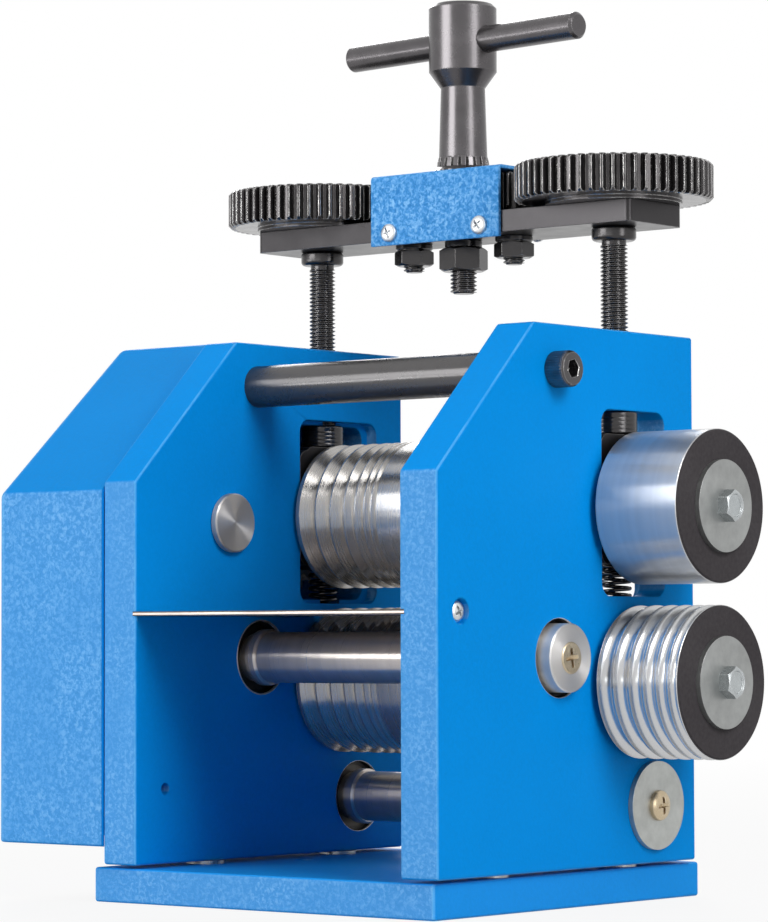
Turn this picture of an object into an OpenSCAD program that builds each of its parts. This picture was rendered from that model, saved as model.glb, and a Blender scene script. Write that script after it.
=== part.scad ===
// Jeweller's bench rolling mill. Two plates carry a fixed lower roll and an upper roll that
// slides in windows. A T handle turns two screws through gears on a bridge and sets the gap.
// The crank shaft drives both rolls through a gear train behind the cover on the left.
// X runs along the rolls, the front faces -Y, and the base rests on Z = 0.

/* [Frame] */
// Thickness of a side plate
plate_t = 16; // [14:0.5:18]
// Depth of a side plate, front to back
plate_depth = 152; // [148:1:160]
// Height of a side plate
plate_h = 192; // [190:1:205]
// Height on the front edge where the slanted shoulder starts
shoulder_h = 138.3; // [130:0.1:145]
// Distance from the front edge to the upper end of the shoulder
shoulder_depth = 55; // [48:1:58]
// Thickness of the base plate
base_t = 12.5; // [10:0.5:16]
// Width of the base plate
base_w = 158; // [152:1:170]
// Depth of the base plate
base_depth = 157; // [150:1:170]

/* [Rolls] */
// Diameter of every roll
roll_d = 55; // [50:1:56]
// Gap between the rolls when fully open
nip = 7.5; // [7.4:0.1:9]
// Height of the lower roll's axis above the foot of the plates
lower_axis_h = 65.5; // [64:0.5:68]
// Distance of the roll axes from the front edge of the plates
roll_setback = 114; // [112:0.5:116]
// Diameter of the roll journals
journal_d = 28; // [24:1:30]
// Length of the rolls outside the right plate
side_roll_len = 35.6; // [34:0.2:40]

/* [Roll adjustment] */
// Module of the gears on the bridge
adjust_module = 1.25; // [1.2:0.01:1.3]
// Face width of the gears on the bridge
adjust_gear_w = 13.5; // [10:0.5:14]
// Diameter of the adjusting screws
screw_d = 10; // [9:0.5:11]
// Height of the bridge bar's underside above the plates
bridge_rise = 38.25; // [36:0.25:44]
// Thickness of the bridge bar
bridge_t = 8; // [7:0.5:10]
// Width of the bridge bar, front to back
bridge_w = 33; // [31:0.5:36]
// Length of the bridge bar
bridge_len = 176; // [170:1:184]

/* [T handle] */
// Height of the handle's top above the bridge bar
handle_rise = 81; // [76:0.5:90]
// Diameter of the handle's head
head_d = 25.5; // [22:0.5:28]
// Diameter of the cross bar
tommy_d = 10; // [8:0.5:11]
// Length of the cross bar
tommy_len = 116; // [100:1:140]

/* [Gear cover] */
// Width of the gear cover outside the left plate
cover_w = 54.2; // [50.4:0.1:56]
// Sheet thickness of the gear cover
cover_wall = 1.5; // [1:0.1:1.6]
// Radius of the gear cover's outer edges
cover_edge_r = 5; // [4:0.5:8]

/* [Tie rod and guide sheet] */
// Diameter of the tie rod
tie_d = 15.5; // [12:0.5:18]
// Thickness of the guide sheet
sheet_t = 1.5; // [1:0.1:2]

/* [Hidden] */
$fn = 64;
over = 1;
right_angle = 90;
slip = 0.05;
side_play = 0.2;

adjust_teeth = [21, 17, 56];
screw_pitch = 1.5;
handle_turns = 13;
travel = handle_turns * screw_pitch * adjust_teeth[0] / adjust_teeth[2];
idler_offset = adjust_module * (adjust_teeth[0] + adjust_teeth[1]) / 2;
screw_offset = idler_offset + adjust_module * (adjust_teeth[1] + adjust_teeth[2]) / 2;

plate_in = screw_offset - plate_t / 2;
plate_out = screw_offset + plate_t / 2;
front_y = -plate_depth / 2;
back_y = plate_depth / 2;
foot_washer_t = 1.25;
plate_z = base_t + foot_washer_t;
plate_top = plate_z + plate_h;

roll_y = front_y + roll_setback;
lower_axis = [roll_y, plate_z + lower_axis_h];
upper_axis = lower_axis + [0, roll_d + nip];

barrel_end_gap = 1;
barrel_half = plate_in - barrel_end_gap;
barrel_chamfer = 0.8;
v_groove_ws = [7.6, 6.7, 6, 4.7, 3.8, 2.7, 2.2];
v_groove_land = 0.6;
v_groove_margin = 2.5;
round_groove_ws = [6.4, 5.9, 5.4, 4.8, 4.2, 3.6];
round_groove_land = 0.75;

drive_module = 2;
drive_pressure = 20;
roll_gear_n = 28;
lay_pinion_n = 18;
drive_idler_n = 35;
crank_module = 1.5;
lay_gear_n = 88;
crank_pinion_n = 16;
drive_slack = 0.3;
adjust_slack = 0.2;
tooth_chamfer = 1;
roll_gear_w = 11;
crank_gear_w = 10;
gear_gap = 1.5;
crank_gear_gap = 2.5;
train_clear = 1.6;

// Gear planes outside the left plate, as distances from the middle of the mill
plane_a = plate_out + train_clear;
plane_b = plane_a + roll_gear_w + gear_gap;
plane_c = plane_b + roll_gear_w + crank_gear_gap;
plane_end = plane_c + crank_gear_w;

roll_gear_reach = drive_module * (roll_gear_n + lay_pinion_n) / 2;
lay_idler_reach = drive_module * (lay_pinion_n + drive_idler_n) / 2;
idler_roll_reach = drive_module * (drive_idler_n + roll_gear_n) / 2;
crank_reach = crank_module * (lay_gear_n + crank_pinion_n) / 2;
crank_bearing = -43.4;

// The idler lies level with the middle of the upper roll's travel, so it stays in mesh
idler_axis = upper_axis - [sqrt(pow(idler_roll_reach, 2) - pow(travel / 2, 2)), travel / 2];
lay_axis = meeting(lower_axis, roll_gear_reach, idler_axis, lay_idler_reach);
crank_axis = lay_axis + crank_reach * [cos(crank_bearing), sin(crank_bearing)];

gear_seat_d = 22;
spacer_d = 26;
journal_chamfer = 1;
key_w = 5;
key_h = 5;
key_shaft_depth = 3;
gear_key_len = 9;
side_key_len = 24;
side_gap = 2.4;
side_start = plate_out + side_gap;
side_end = side_start + side_roll_len;
side_seat_d = 22;
side_seat_short = 0.6;
side_washer_d = 33;
side_washer_t = 2;
end_bolt_d = 6;
end_bolt_af = 10;
end_bolt_head = 4.5;
end_bolt_len = 20;
end_bolt_room = 3;
end_bolt_socket = end_bolt_len + end_bolt_room;

bush_wall = 3;
bush_flange_w = 3;
bush_flange_t = 0.8;
thrust_ring_w = 6;
thrust_ring_t = 0.7;

block_above = 26.5;
block_below = 20.25;
block_w = 38.6;
block_r = 4;
block_flange_w = 45.4;
block_flange_t = 4.5;
block_flange_inset = 1.5;
foot_d = 16.3;
foot_h = 8.5;
foot_play = 0.1;
foot_chamfer = 0.8;
window_r = 5;
window_lip = 1.5;
window_floor_gap = 4.2;
window_w = block_w + 2 * side_play;
recess_w = block_flange_w + 2 * side_play;
recess_t = block_flange_t + side_play;
block_top = upper_axis[1] + block_above;
block_bottom = upper_axis[1] - block_below;
window_top = block_top + foot_h + foot_play + foot_play;
window_floor = block_bottom - travel - window_floor_gap;

spring_wire_d = 1.1;
spring_mean_d = 10.4;
spring_curls = 9;
spring_room_d = 13;
spring_pocket = 6;
spring_socket = 2.5;
spring_flat = 0.2;
spring_rings = 8;
spring_sides = 6;

tie_setback = 67;
tie_drop = 16.3;
tie_y = front_y + tie_setback;
tie_z = plate_top - tie_drop;
tie_bolt_d = 8;
tie_bolt_head_d = 13;
tie_bolt_head_h = 8;
tie_bolt_bite = 18;
tie_socket_af = 6;
tie_socket_depth = 4.5;

sheet_lift = 24.3;
sheet_roll_gap = 16;
sheet_z = lower_axis[1] + sheet_lift;
sheet_bite = 1.5;
sheet_slot_play = 0.1;
sheet_back = roll_y - sheet_roll_gap;
guide_screw_setback = 12.7;
guide_screw_y = front_y + guide_screw_setback;
guide_screw_d = 4;
guide_head_d = 7.4;
guide_head_h = 2.6;
guide_sink_d = 9;
guide_sink_depth = 3;

shaft_d = 19;
shaft_collar_d = 21;
shaft_collar_t = 5;
shaft_journal_d = 18;
shaft_step = 0.3;
shaft_step_chamfer = 0.7;
shaft_bush_d = 24;
shaft_recess_d = 27;
shaft_recess_t = 3;
lay_cap_d = 24.3;
lay_cap_proud = 5;
lay_cap_hole_d = 28;
lay_cap_hole_t = 6;
lay_cap_gap = 0.4;
lay_screw_d = 6;
lay_screw_head_d = 11.3;
lay_screw_sink = 3;
lay_screw_proud = 0.5;
lay_screw_len = 18;
crank_washer_d = 32;
crank_washer_t = 2;
crank_washer_gap = 0.1;
crank_screw_head_d = 11;
crank_screw_head_h = 2.6;
crank_seat_d = 17;
crank_end_d = 16;
crank_end_len = 28;
crank_end_gap = 2;
cover_hole_play = 1;
shaft_pilot_d = 16;
pinion_hub_gap = 0.6;

idler_cap_d = 21.8;
idler_cap_t = 3;
idler_cap_chamfer = 0.5;
idler_stub_d = 14;
idler_sleeve_d = 20;
idler_clip_d = 19;
idler_clip_t = 1.2;
idler_clip_depth = 0.8;
idler_play = 0.1;
idler_clip_x = -plane_b - roll_gear_w - idler_play;
idler_bush_wall = 2;
web_inset = 3;
web_rim = 6;
web_hub = 7;

cover_edge_steps = 6;
cover_side_rise = 1;
cover_top_rise = 0.8;
cover_foot_gap = 6.4;
cover_shoulder_drop = 2.8;
cover_shoulder_back = 8.7;
cover_front_y = front_y - cover_side_rise;
cover_back_y = back_y + cover_side_rise;
cover_bottom = plate_z + cover_foot_gap;
cover_top = plate_top + cover_top_rise;
cover_shoulder_z = plate_z + shoulder_h - cover_shoulder_drop;
cover_shoulder_y = front_y + shoulder_depth + cover_shoulder_back;
cover_x = -plate_out - cover_w;
crank_end_x = cover_x - crank_end_gap - crank_end_len;
post_d = 6;
post_insets = [[15.7, 27.1], [10, 41.3], [26, 13]];
post_places = [[front_y + post_insets[0][0], plate_z + post_insets[0][1]],
               [back_y - post_insets[1][0], plate_z + post_insets[1][1]],
               [back_y - post_insets[2][0], plate_top - post_insets[2][1]]];
post_bite = 8;
post_tap_d = 4.3;
cover_screw_d = 4;
cover_screw_head_d = 8;
cover_screw_head_h = 2.4;
cover_screw_bite = 12;

base_left_rim = 6.6;
base_front_inset = 2;
base_left = -plate_out - base_left_rim;
base_corner_r = 1.5;
base_front = front_y + base_front_inset;
base_mid_y = base_front + base_depth / 2;
foot_screw_spread = 38;
foot_screw_inset = 4.6;
foot_screw_x = plate_in + foot_screw_inset;
foot_screw_d = 6;
foot_screw_head_d = 10;
foot_screw_sink = 8.5;
foot_screw_head_h = 6;
foot_screw_bite = 8;
foot_washer_d = 14;
bench_hole_d = 6.6;
bench_hole_inset = 33.5;

bridge_z = plate_top + bridge_rise;
bridge_top = bridge_z + bridge_t;
bridge_edge_r = 2;
hub_d = 50;
hub_t = 1.5;
gear_z = bridge_top + slip + hub_t;
gear_top = gear_z + adjust_gear_w;
gear_nut_d = 22;
gear_nut_depth = 3;
gear_nut_af = 16;
gear_nut_h = 5;
collar_d = 16.3;
collar_h = 5;
collar_edge = 1;
neck_d = 9;
neck_h = 1.6;

stud_d = 8;
stud_head_d = 12.5;
stud_head_h = 2.5;
stud_sink_d = 14;
stud_sink_play = 0.3;
nut_washer_d = 14;
nut_washer_t = 2.1;
stud_nut_af = 13;
stud_nut_h = 6;
stud_nut_turn = 30;
stud_tip = 2.4;
handle_nut_af = 16;
handle_nut_h = 8.8;
handle_nut_turn = -12;
handle_nut_washer_t = 2.8;
handle_tip = 8.4;

pinion_cover_half = 30.3;
pinion_cover_wall = 1.3;
pinion_cover_gap = 0.6;
pinion_cover_drop = 1.6;
pinion_cover_r = 1.8;
pinion_cover_hole_play = 1.2;
cover_pin_x = 21.3;
cover_pin_d = 3;
cover_pin_bite = 7;
cover_pin_head_d = 6.2;
cover_pin_head_h = 1.7;

runout_rise = 20;
neck_rise = 49.4;
head_foot_rise = 55.6;
tommy_drop = 14.2;
stem_z = bridge_top + runout_rise;
stem_low_d = 18.4;
stem_high_d = 16.6;
neck_z = bridge_top + neck_rise;
head_z = bridge_top + head_foot_rise;
head_rim = 1.5;
tommy_z = bridge_top + handle_rise - tommy_drop;
tommy_turn = -5;
tommy_chamfer = 1;
runout_slope = 0.8;

blue = [0.05, 0.5, 0.85];
light_blue = [0.3, 0.6, 0.9];
black_oxide = [0.2, 0.19, 0.2];
bright = [0.8, 0.8, 0.8];
steel = [0.65, 0.65, 0.67];
zinc = [0.78, 0.8, 0.8];
yellow_zinc = [0.85, 0.75, 0.5];
bronze = [0.72, 0.5, 0.25];

// Point at distance rp from p and rq from q, on the side to the front
function meeting(p, rp, q, rq) =
  let (d = norm(q - p), u = (q - p) / d, a = (rp * rp - rq * rq + d * d) / (2 * d),
       h = sqrt(rp * rp - a * a))
  p + a * u + h * [-u[1], u[0]];

function bearing(p, q) = atan2(q[1] - p[1], q[0] - p[0]);
function degrees(radians) = radians * 180 / PI;
function sum_to(list, n) = n == 0 ? 0 : list[n - 1] + sum_to(list, n - 1);

// Turn of gear b that puts it in mesh with gear a, which lies against the given direction
function mesh_turn(turn_a, n_a, n_b, direction) =
  direction + 180 - 180 / n_b + (direction - turn_a) * n_a / n_b;

function roll_angle(base_r, r) = sqrt(max(0, pow(r / base_r, 2) - 1));
function involute_angle(base_r, r) =
  let (t = roll_angle(base_r, r)) degrees(t) - atan(t);

// Outline of a spur gear with involute flanks, the first tooth centred on the first axis
function gear_outline(m, n, slack, steps) =
  let (pitch_r = m * n / 2, base_r = pitch_r * cos(drive_pressure), tip_r = pitch_r + m,
       root_r = pitch_r - 1.25 * m, start_r = max(base_r, root_r),
       half = degrees((PI * m / 2 - slack / 2) / (2 * pitch_r))
              + involute_angle(base_r, pitch_r),
       radii = [for (i = [0:steps]) start_r + (tip_r - start_r) * i / steps],
       flank = [for (r = radii) [r, half - involute_angle(base_r, r)]],
       foot = root_r < start_r ? [[root_r, half]] : [],
       side = concat(foot, flank),
       last = len(side) - 1)
  [for (k = [0:n - 1]) each concat(
    [for (s = side) polar(s[0], 360 * k / n - s[1])],
    [for (i = [0:last]) polar(side[last - i][0], 360 * k / n + side[last - i][1])])];

function polar(r, a) = r * [cos(a), sin(a)];

module gear(m, n, w, slack, turn, steps = 3) {
  rotate(turn) linear_extrude(w) polygon(gear_outline(m, n, slack, steps));
}

// Gear whose tooth ends are turned to a chamfer
module chamfered_gear(n, w, turn, chamfer) {
  intersection() {
    gear(adjust_module, n, w, adjust_slack, turn);
    chamfered_rod(0, w, adjust_module * (n + 2) + over, chamfer + over / 2);
  }
}

// Puts children that stand along Z on an axis that runs along X
module on_axis(centre) {
  translate([0, centre[0], centre[1]]) rotate([90, 0, 90]) children();
}

module rod(from, to, d) {
  translate([0, 0, from]) cylinder(h = to - from, d = d);
}

module chamfered_rod(from, to, d, chamfer) {
  rotate_extrude() polygon([
    [0, from], [d / 2 - chamfer, from], [d / 2, from + chamfer],
    [d / 2, to - chamfer], [d / 2 - chamfer, to], [0, to]]);
}

module ring(from, to, outer_d, inner_d) {
  difference() {
    rod(from, to, outer_d);
    rod(from - over, to + over, inner_d);
  }
}

module hex(from, to, af) {
  translate([0, 0, from]) cylinder(h = to - from, d = af / cos(30), $fn = 6);
}

// Hexagon whose far end is turned to a cone
module hex_head(from, to, af) {
  top_r = af / 2 - af / 40;
  corner_r = af / cos(30) / 2;
  drop = (corner_r - top_r) * tan(30);
  intersection() {
    hex(from, to, af);
    rotate_extrude() polygon([
      [0, from - over], [corner_r + over, from - over], [corner_r + over, to - drop],
      [corner_r, to - drop], [top_r, to], [0, to]]);
  }
}

module rounded_rect(w, h, r) {
  square([w - 2 * r, h], center = true);
  square([w, h - 2 * r], center = true);
  for (x = [-1, 1], y = [-1, 1]) translate([x * (w / 2 - r), y * (h / 2 - r)]) circle(r);
}

module mirrored_pair() {
  children();
  mirror([1, 0, 0]) children();
}

// Key whose shaft side lies below the shaft surface, centred on its length
module key_block(from, to, seat_d) {
  translate([seat_d / 2 - key_shaft_depth, -key_w / 2, from]) cube([key_h, key_w, to - from]);
}

// Side plates

function plate_outline() = [
  [front_y, plate_z], [back_y, plate_z], [back_y, plate_top],
  [front_y + shoulder_depth, plate_top], [front_y, plate_z + shoulder_h]];

module along_plate(from, to) {
  translate([from, 0, 0]) rotate([90, 0, 90]) linear_extrude(to - from) children();
}

module window_shape(w, low, high) {
  translate([roll_y, (low + high) / 2]) rounded_rect(w, high - low, window_r);
}

module side_plate() {
  difference() {
    along_plate(plate_in, plate_out) polygon(plate_outline());
    along_plate(plate_in - over, plate_out + over)
      window_shape(window_w, window_floor, window_top);
    along_plate(plate_in - over, plate_in + recess_t)
      window_shape(recess_w, window_floor - window_lip, window_top + window_lip);
    translate([screw_offset, roll_y, 0]) {
      rod(window_top - over, plate_top + over, screw_d + 2 * slip);
      rod(window_floor - spring_pocket, window_floor + over, spring_room_d);
    }
    on_axis(lower_axis) rod(plate_in - over, plate_out + over, journal_d + 2 * (slip + bush_wall));
    for (axis = [lay_axis, crank_axis]) on_axis(axis) {
      rod(plate_in - over, plate_out + over, shaft_bush_d);
      rod(plate_in - over, plate_in + shaft_recess_t, shaft_recess_d);
    }
    on_axis([tie_y, tie_z]) rod(plate_in - over, plate_out + over, tie_bolt_d);
    on_axis([guide_screw_y, sheet_z + sheet_t / 2]) {
      rod(plate_in + sheet_bite, plate_out + over, guide_screw_d);
      rod(plate_out - guide_sink_depth, plate_out + over, guide_sink_d);
    }
    sheet_slot();
    for (y = [-1, 1]) translate([foot_screw_x, base_mid_y + y * foot_screw_spread, 0])
      rod(plate_z - over, plate_z + foot_screw_bite, foot_screw_d);
  }
}

module sheet_slot() {
  translate([plate_in - over, front_y - over, sheet_z - sheet_slot_play])
    cube([sheet_bite + over, sheet_back - front_y + over + sheet_slot_play,
          sheet_t + 2 * sheet_slot_play]);
}

module side_plate_right() {
  color(blue) difference() {
    side_plate();
    on_axis(lay_axis) rod(plate_out - lay_cap_hole_t, plate_out + over, lay_cap_hole_d);
  }
}

module side_plate_left() {
  color(blue) difference() {
    mirror([1, 0, 0]) side_plate();
    on_axis(idler_axis) rod(-plate_out - over, -plate_in + over, idler_stub_d);
    for (place = post_places) on_axis(place) rod(-plate_out - over, -plate_out + post_bite, post_tap_d);
    on_axis(post_places[0]) rod(-plate_out - over, -plate_in + over, post_tap_d);
  }
}

// Base

module base_plate() {
  color(blue) difference() {
    translate([base_left + base_w / 2, base_mid_y, 0]) linear_extrude(base_t)
      rounded_rect(base_w, base_depth, base_corner_r);
    foot_screw_places() {
      rod(-over, base_t + over, foot_screw_d);
      rod(-over, foot_screw_sink, foot_screw_head_d);
    }
    for (x = [base_left + bench_hole_inset, base_left + base_w - bench_hole_inset])
      translate([x, base_mid_y, 0]) rod(-over, base_t + over, bench_hole_d);
  }
}

module foot_screw_places() {
  for (x = [-1, 1], y = [-1, 1])
    translate([x * foot_screw_x, base_mid_y + y * foot_screw_spread, 0]) children();
}

module foot_washers() {
  color(zinc) foot_screw_places() ring(base_t, plate_z, foot_washer_d, foot_screw_d);
}

module foot_screws() {
  color(black_oxide) foot_screw_places() {
    rod(foot_screw_sink - foot_screw_head_h, foot_screw_sink, foot_screw_head_d);
    rod(foot_screw_sink - over, plate_z + foot_screw_bite, foot_screw_d);
  }
}

// Tie rod and guide sheet

module tie_rod() {
  color(black_oxide) on_axis([tie_y, tie_z]) difference() {
    rod(-plate_in, plate_in, tie_d);
    for (side = [-1, 1])
      translate([0, 0, side * plate_in]) rod(-tie_bolt_bite, tie_bolt_bite, tie_bolt_d);
  }
}

module tie_rod_screws() {
  color(black_oxide) mirrored_pair() on_axis([tie_y, tie_z]) difference() {
    union() {
      rod(plate_in - tie_bolt_bite, plate_out + over, tie_bolt_d);
      rod(plate_out, plate_out + tie_bolt_head_h, tie_bolt_head_d);
    }
    hex(plate_out + tie_bolt_head_h - tie_socket_depth, plate_out + tie_bolt_head_h + over,
        tie_socket_af);
  }
}

module guide_sheet() {
  half = plate_in + sheet_bite;
  color(bright) translate([-half, front_y, sheet_z]) cube([2 * half, sheet_back - front_y, sheet_t]);
}

module guide_screws() {
  color(zinc) mirrored_pair() on_axis([guide_screw_y, sheet_z + sheet_t / 2]) {
    rod(plate_in + sheet_bite, plate_out - guide_sink_depth + over, guide_screw_d);
    rod(plate_out - guide_sink_depth, plate_out - guide_sink_depth + guide_head_h, guide_head_d);
  }
}

// Gear cover: the space below five planes, each with a rounded edge to the outer face

// Its edge to the outer face is an arc of short chords
module cover_plane(point, toward, inset, edge_r) {
  reach = cover_w + plate_depth + plate_h;
  centre = [cover_x + inset + edge_r, -inset - edge_r];
  arc = [for (i = [0:cover_edge_steps]) centre + polar(edge_r, 180 - 90 * i / cover_edge_steps)];
  translate([0, point[0], point[1]]) rotate([toward - 90, 0, 0]) rotate([90, 0, 0])
    translate([0, 0, -reach]) linear_extrude(2 * reach)
      polygon(concat([[cover_x + inset, -reach]], arc, [[reach, -inset], [reach, -reach]]));
}

module cover_form(inset, edge_r) {
  slope = bearing([cover_front_y, cover_shoulder_z], [cover_shoulder_y, cover_top]);
  intersection() {
    cover_plane([cover_front_y, cover_bottom], 180, inset, edge_r);
    cover_plane([cover_front_y, cover_shoulder_z], slope + right_angle, inset, edge_r);
    cover_plane([cover_front_y, cover_top], 90, inset, edge_r);
    cover_plane([cover_back_y, cover_bottom], 0, inset, edge_r);
  }
}

module gear_cover() {
  outer_corner = [cover_x - over, cover_front_y - over, cover_bottom];
  color(light_blue) difference() {
    intersection() {
      cover_form(0, cover_edge_r);
      translate(outer_corner)
        cube([-plate_out - outer_corner[0], cover_back_y - cover_front_y + 2 * over, plate_h + cover_top]);
    }
    intersection() {
      cover_form(cover_wall, cover_edge_r - cover_wall);
      translate([cover_x, cover_front_y, cover_bottom - over])
        cube([cover_w + over, cover_back_y - cover_front_y, plate_h + cover_top]);
    }
    on_axis(crank_axis) rod(cover_x - over, cover_x + cover_wall + over, crank_seat_d + 2 * cover_hole_play);
    for (place = post_places) on_axis(place)
      rod(cover_x - over, cover_x + cover_wall + over, cover_screw_d);
  }
}

module cover_posts() {
  color(steel) for (place = post_places) on_axis(place) difference() {
    union() {
      rod(cover_x + cover_wall, -plate_out, post_d);
      rod(-plate_out - over, -plate_out + post_bite, post_tap_d);
    }
    rod(cover_x, cover_x + cover_wall + cover_screw_bite, cover_screw_d);
  }
}

module cover_screws() {
  color(zinc) for (place = post_places) on_axis(place) {
    rod(cover_x - cover_screw_head_h, cover_x, cover_screw_head_d);
    rod(cover_x - over, cover_x + cover_wall + cover_screw_bite, cover_screw_d);
  }
}

// Bearings in the plates and the idler's stub

module plate_bushes() {
  roll_bore = journal_d + 2 * slip;
  color(bronze) mirrored_pair() {
    on_axis(lower_axis) {
      ring(plate_in, plate_out, roll_bore + 2 * bush_wall, roll_bore);
      ring(plate_in - bush_flange_t, plate_in, roll_bore + 2 * (bush_wall + bush_flange_w), roll_bore);
    }
    on_axis(crank_axis)
      ring(plate_in + shaft_recess_t, plate_out, shaft_bush_d, shaft_journal_d + 2 * slip);
  }
  color(bronze) on_axis(lay_axis) {
    ring(plate_in + shaft_recess_t, plate_out - lay_cap_hole_t, shaft_bush_d, shaft_journal_d + 2 * slip);
    ring(-plate_out, -plate_in - shaft_recess_t, shaft_bush_d, shaft_journal_d + 2 * slip);
  }
}

module idler_stub() {
  color(bright) on_axis(idler_axis) difference() {
    union() {
      chamfered_rod(-plate_in, -plate_in + idler_cap_t, idler_cap_d, idler_cap_chamfer);
      rod(idler_clip_x - idler_clip_t - idler_clip_depth, -plate_in + over, idler_stub_d);
    }
    ring(idler_clip_x - idler_clip_t, idler_clip_x, idler_stub_d + over,
         idler_stub_d - 2 * idler_clip_depth);
  }
}

module idler_retainers() {
  color(steel) on_axis(idler_axis) {
    ring(-plane_b + idler_play, -plate_out, idler_sleeve_d, idler_stub_d);
    ring(idler_clip_x - idler_clip_t, idler_clip_x, idler_clip_d, idler_stub_d - 2 * idler_clip_depth);
  }
}

// Rolls

// Outline of a barrel with V grooves cut at right angles, from its left end
function barrel_outline() = concat(
  [[0, -barrel_half], [roll_d / 2 - barrel_chamfer, -barrel_half],
   [roll_d / 2, -barrel_half + barrel_chamfer]],
  [for (i = [0:len(v_groove_ws) - 1])
    let (w = v_groove_ws[i],
         left = -barrel_half + v_groove_margin + sum_to(v_groove_ws, i) + i * v_groove_land)
    each [[roll_d / 2, left], [roll_d / 2 - w / 2, left + w / 2], [roll_d / 2, left + w]]],
  [[roll_d / 2, barrel_half - barrel_chamfer], [roll_d / 2 - barrel_chamfer, barrel_half],
   [0, barrel_half]]);

// Roll with its journals, the gear seat on the left and the side roll's seat on the right
module roll_blank(gear_from, gear_to) {
  difference() {
    union() {
      rotate_extrude() polygon(barrel_outline());
      rod(-plane_a, side_start, journal_d);
      rod(-gear_from, 0, spacer_d);
      rod(-gear_to, 0, gear_seat_d);
      rod(0, side_end - side_seat_short, side_seat_d);
    }
    gear_key(gear_from);
    side_key();
    rod(side_end - side_seat_short - end_bolt_socket, side_end + over, end_bolt_d);
  }
}

module gear_key(gear_from) {
  middle = gear_from + roll_gear_w / 2;
  key_block(-middle - gear_key_len / 2, -middle + gear_key_len / 2, gear_seat_d);
}

module side_key() {
  middle = side_start + side_roll_len / 2;
  key_block(middle - side_key_len / 2, middle + side_key_len / 2, side_seat_d);
}

module keyway(seat_d, from, to) {
  translate([0, -key_w / 2, from - over])
    cube([seat_d / 2 - key_shaft_depth + key_h, key_w, to - from + 2 * over]);
}

module roll_gear(centre, gear_from, turn) {
  color(steel) on_axis(centre) difference() {
    translate([0, 0, -gear_from - roll_gear_w])
      gear(drive_module, roll_gear_n, roll_gear_w, drive_slack, turn, 2);
    rod(-gear_from - roll_gear_w - over, -gear_from + over, gear_seat_d);
    keyway(gear_seat_d, -gear_from - roll_gear_w, -gear_from);
  }
}

module side_roll_blank() {
  difference() {
    chamfered_rod(side_start, side_end, roll_d, barrel_chamfer);
    rod(side_start - over, side_end + over, side_seat_d);
    keyway(side_seat_d, side_start, side_end);
  }
}

module side_washer(centre) {
  color(zinc) on_axis(centre) ring(side_end, side_end + side_washer_t, side_washer_d, end_bolt_d);
}

module end_bolt(centre) {
  seat = side_end + side_washer_t;
  color(zinc) on_axis(centre) {
    hex_head(seat, seat + end_bolt_head, end_bolt_af);
    rod(seat - end_bolt_len, seat + over, end_bolt_d);
  }
}

lower_turn = 0;
lay_turn = mesh_turn(lower_turn, roll_gear_n, lay_pinion_n, bearing(lower_axis, lay_axis));
idler_turn = mesh_turn(lay_turn, lay_pinion_n, drive_idler_n, bearing(lay_axis, idler_axis));
upper_turn = mesh_turn(idler_turn, drive_idler_n, roll_gear_n, bearing(idler_axis, upper_axis));
crank_turn = mesh_turn(lower_turn, lay_gear_n, crank_pinion_n, bearing(lay_axis, crank_axis));

module lower_roll() {
  color(bright) on_axis(lower_axis) roll_blank(plane_a, plane_a + roll_gear_w);
}

module lower_roll_gear() {
  roll_gear(lower_axis, plane_a, lower_turn);
}

module lower_side_roll() {
  color(bright) on_axis(lower_axis) difference() {
    side_roll_blank();
    for (i = [0:len(round_groove_ws) - 1])
      translate([0, 0, side_start + (i + 1) * round_groove_land + sum_to(round_groove_ws, i)
                       + round_groove_ws[i] / 2])
        rotate_extrude() translate([roll_d / 2, 0]) circle(d = round_groove_ws[i]);
  }
}

module lower_side_washer() {
  side_washer(lower_axis);
}

module lower_end_bolt() {
  end_bolt(lower_axis);
}

module lower_roll_keys() {
  color(steel) on_axis(lower_axis) {
    gear_key(plane_a);
    side_key();
  }
}

module upper_roll() {
  color(bright) on_axis(upper_axis) roll_blank(plane_b, plane_b + roll_gear_w);
}

module upper_roll_gear() {
  roll_gear(upper_axis, plane_b, upper_turn);
}

module upper_side_roll() {
  color(bright) on_axis(upper_axis) side_roll_blank();
}

module upper_side_washer() {
  side_washer(upper_axis);
}

module upper_end_bolt() {
  end_bolt(upper_axis);
}

module upper_roll_keys() {
  color(steel) on_axis(upper_axis) {
    gear_key(plane_b);
    side_key();
  }
}

module thrust_rings() {
  gap = (barrel_end_gap - thrust_ring_t) / 2;
  color(bronze) mirrored_pair() on_axis(upper_axis)
    ring(barrel_half + gap, barrel_half + gap + thrust_ring_t, journal_d + 2 * thrust_ring_w,
         journal_d + 2 * slip);
}

// Sliding blocks of the upper roll and their springs

module bearing_block() {
  bore = journal_d + 2 * (slip + bush_wall);
  difference() {
    union() {
      along_plate(plate_in, plate_out - side_play) translate([roll_y, (block_top + block_bottom) / 2])
        rounded_rect(block_w, block_top - block_bottom, block_r);
      along_plate(plate_in, plate_in + block_flange_t)
        translate([roll_y, (block_top + block_bottom) / 2])
          rounded_rect(block_flange_w, block_top - block_bottom - 2 * block_flange_inset, block_r);
    }
    on_axis(upper_axis) rod(plate_in - over, plate_out + over, bore);
    translate([screw_offset, roll_y, 0])
      rod(block_bottom - over, block_bottom + spring_socket, spring_room_d);
  }
}

module bearing_block_right() {
  color(steel) bearing_block();
}

module bearing_block_left() {
  color(steel) mirror([1, 0, 0]) bearing_block();
}

module block_bushes() {
  bore = journal_d + 2 * slip;
  color(bronze) mirrored_pair() on_axis(upper_axis)
    ring(plate_in, plate_out - side_play, bore + 2 * bush_wall, bore);
}

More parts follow.
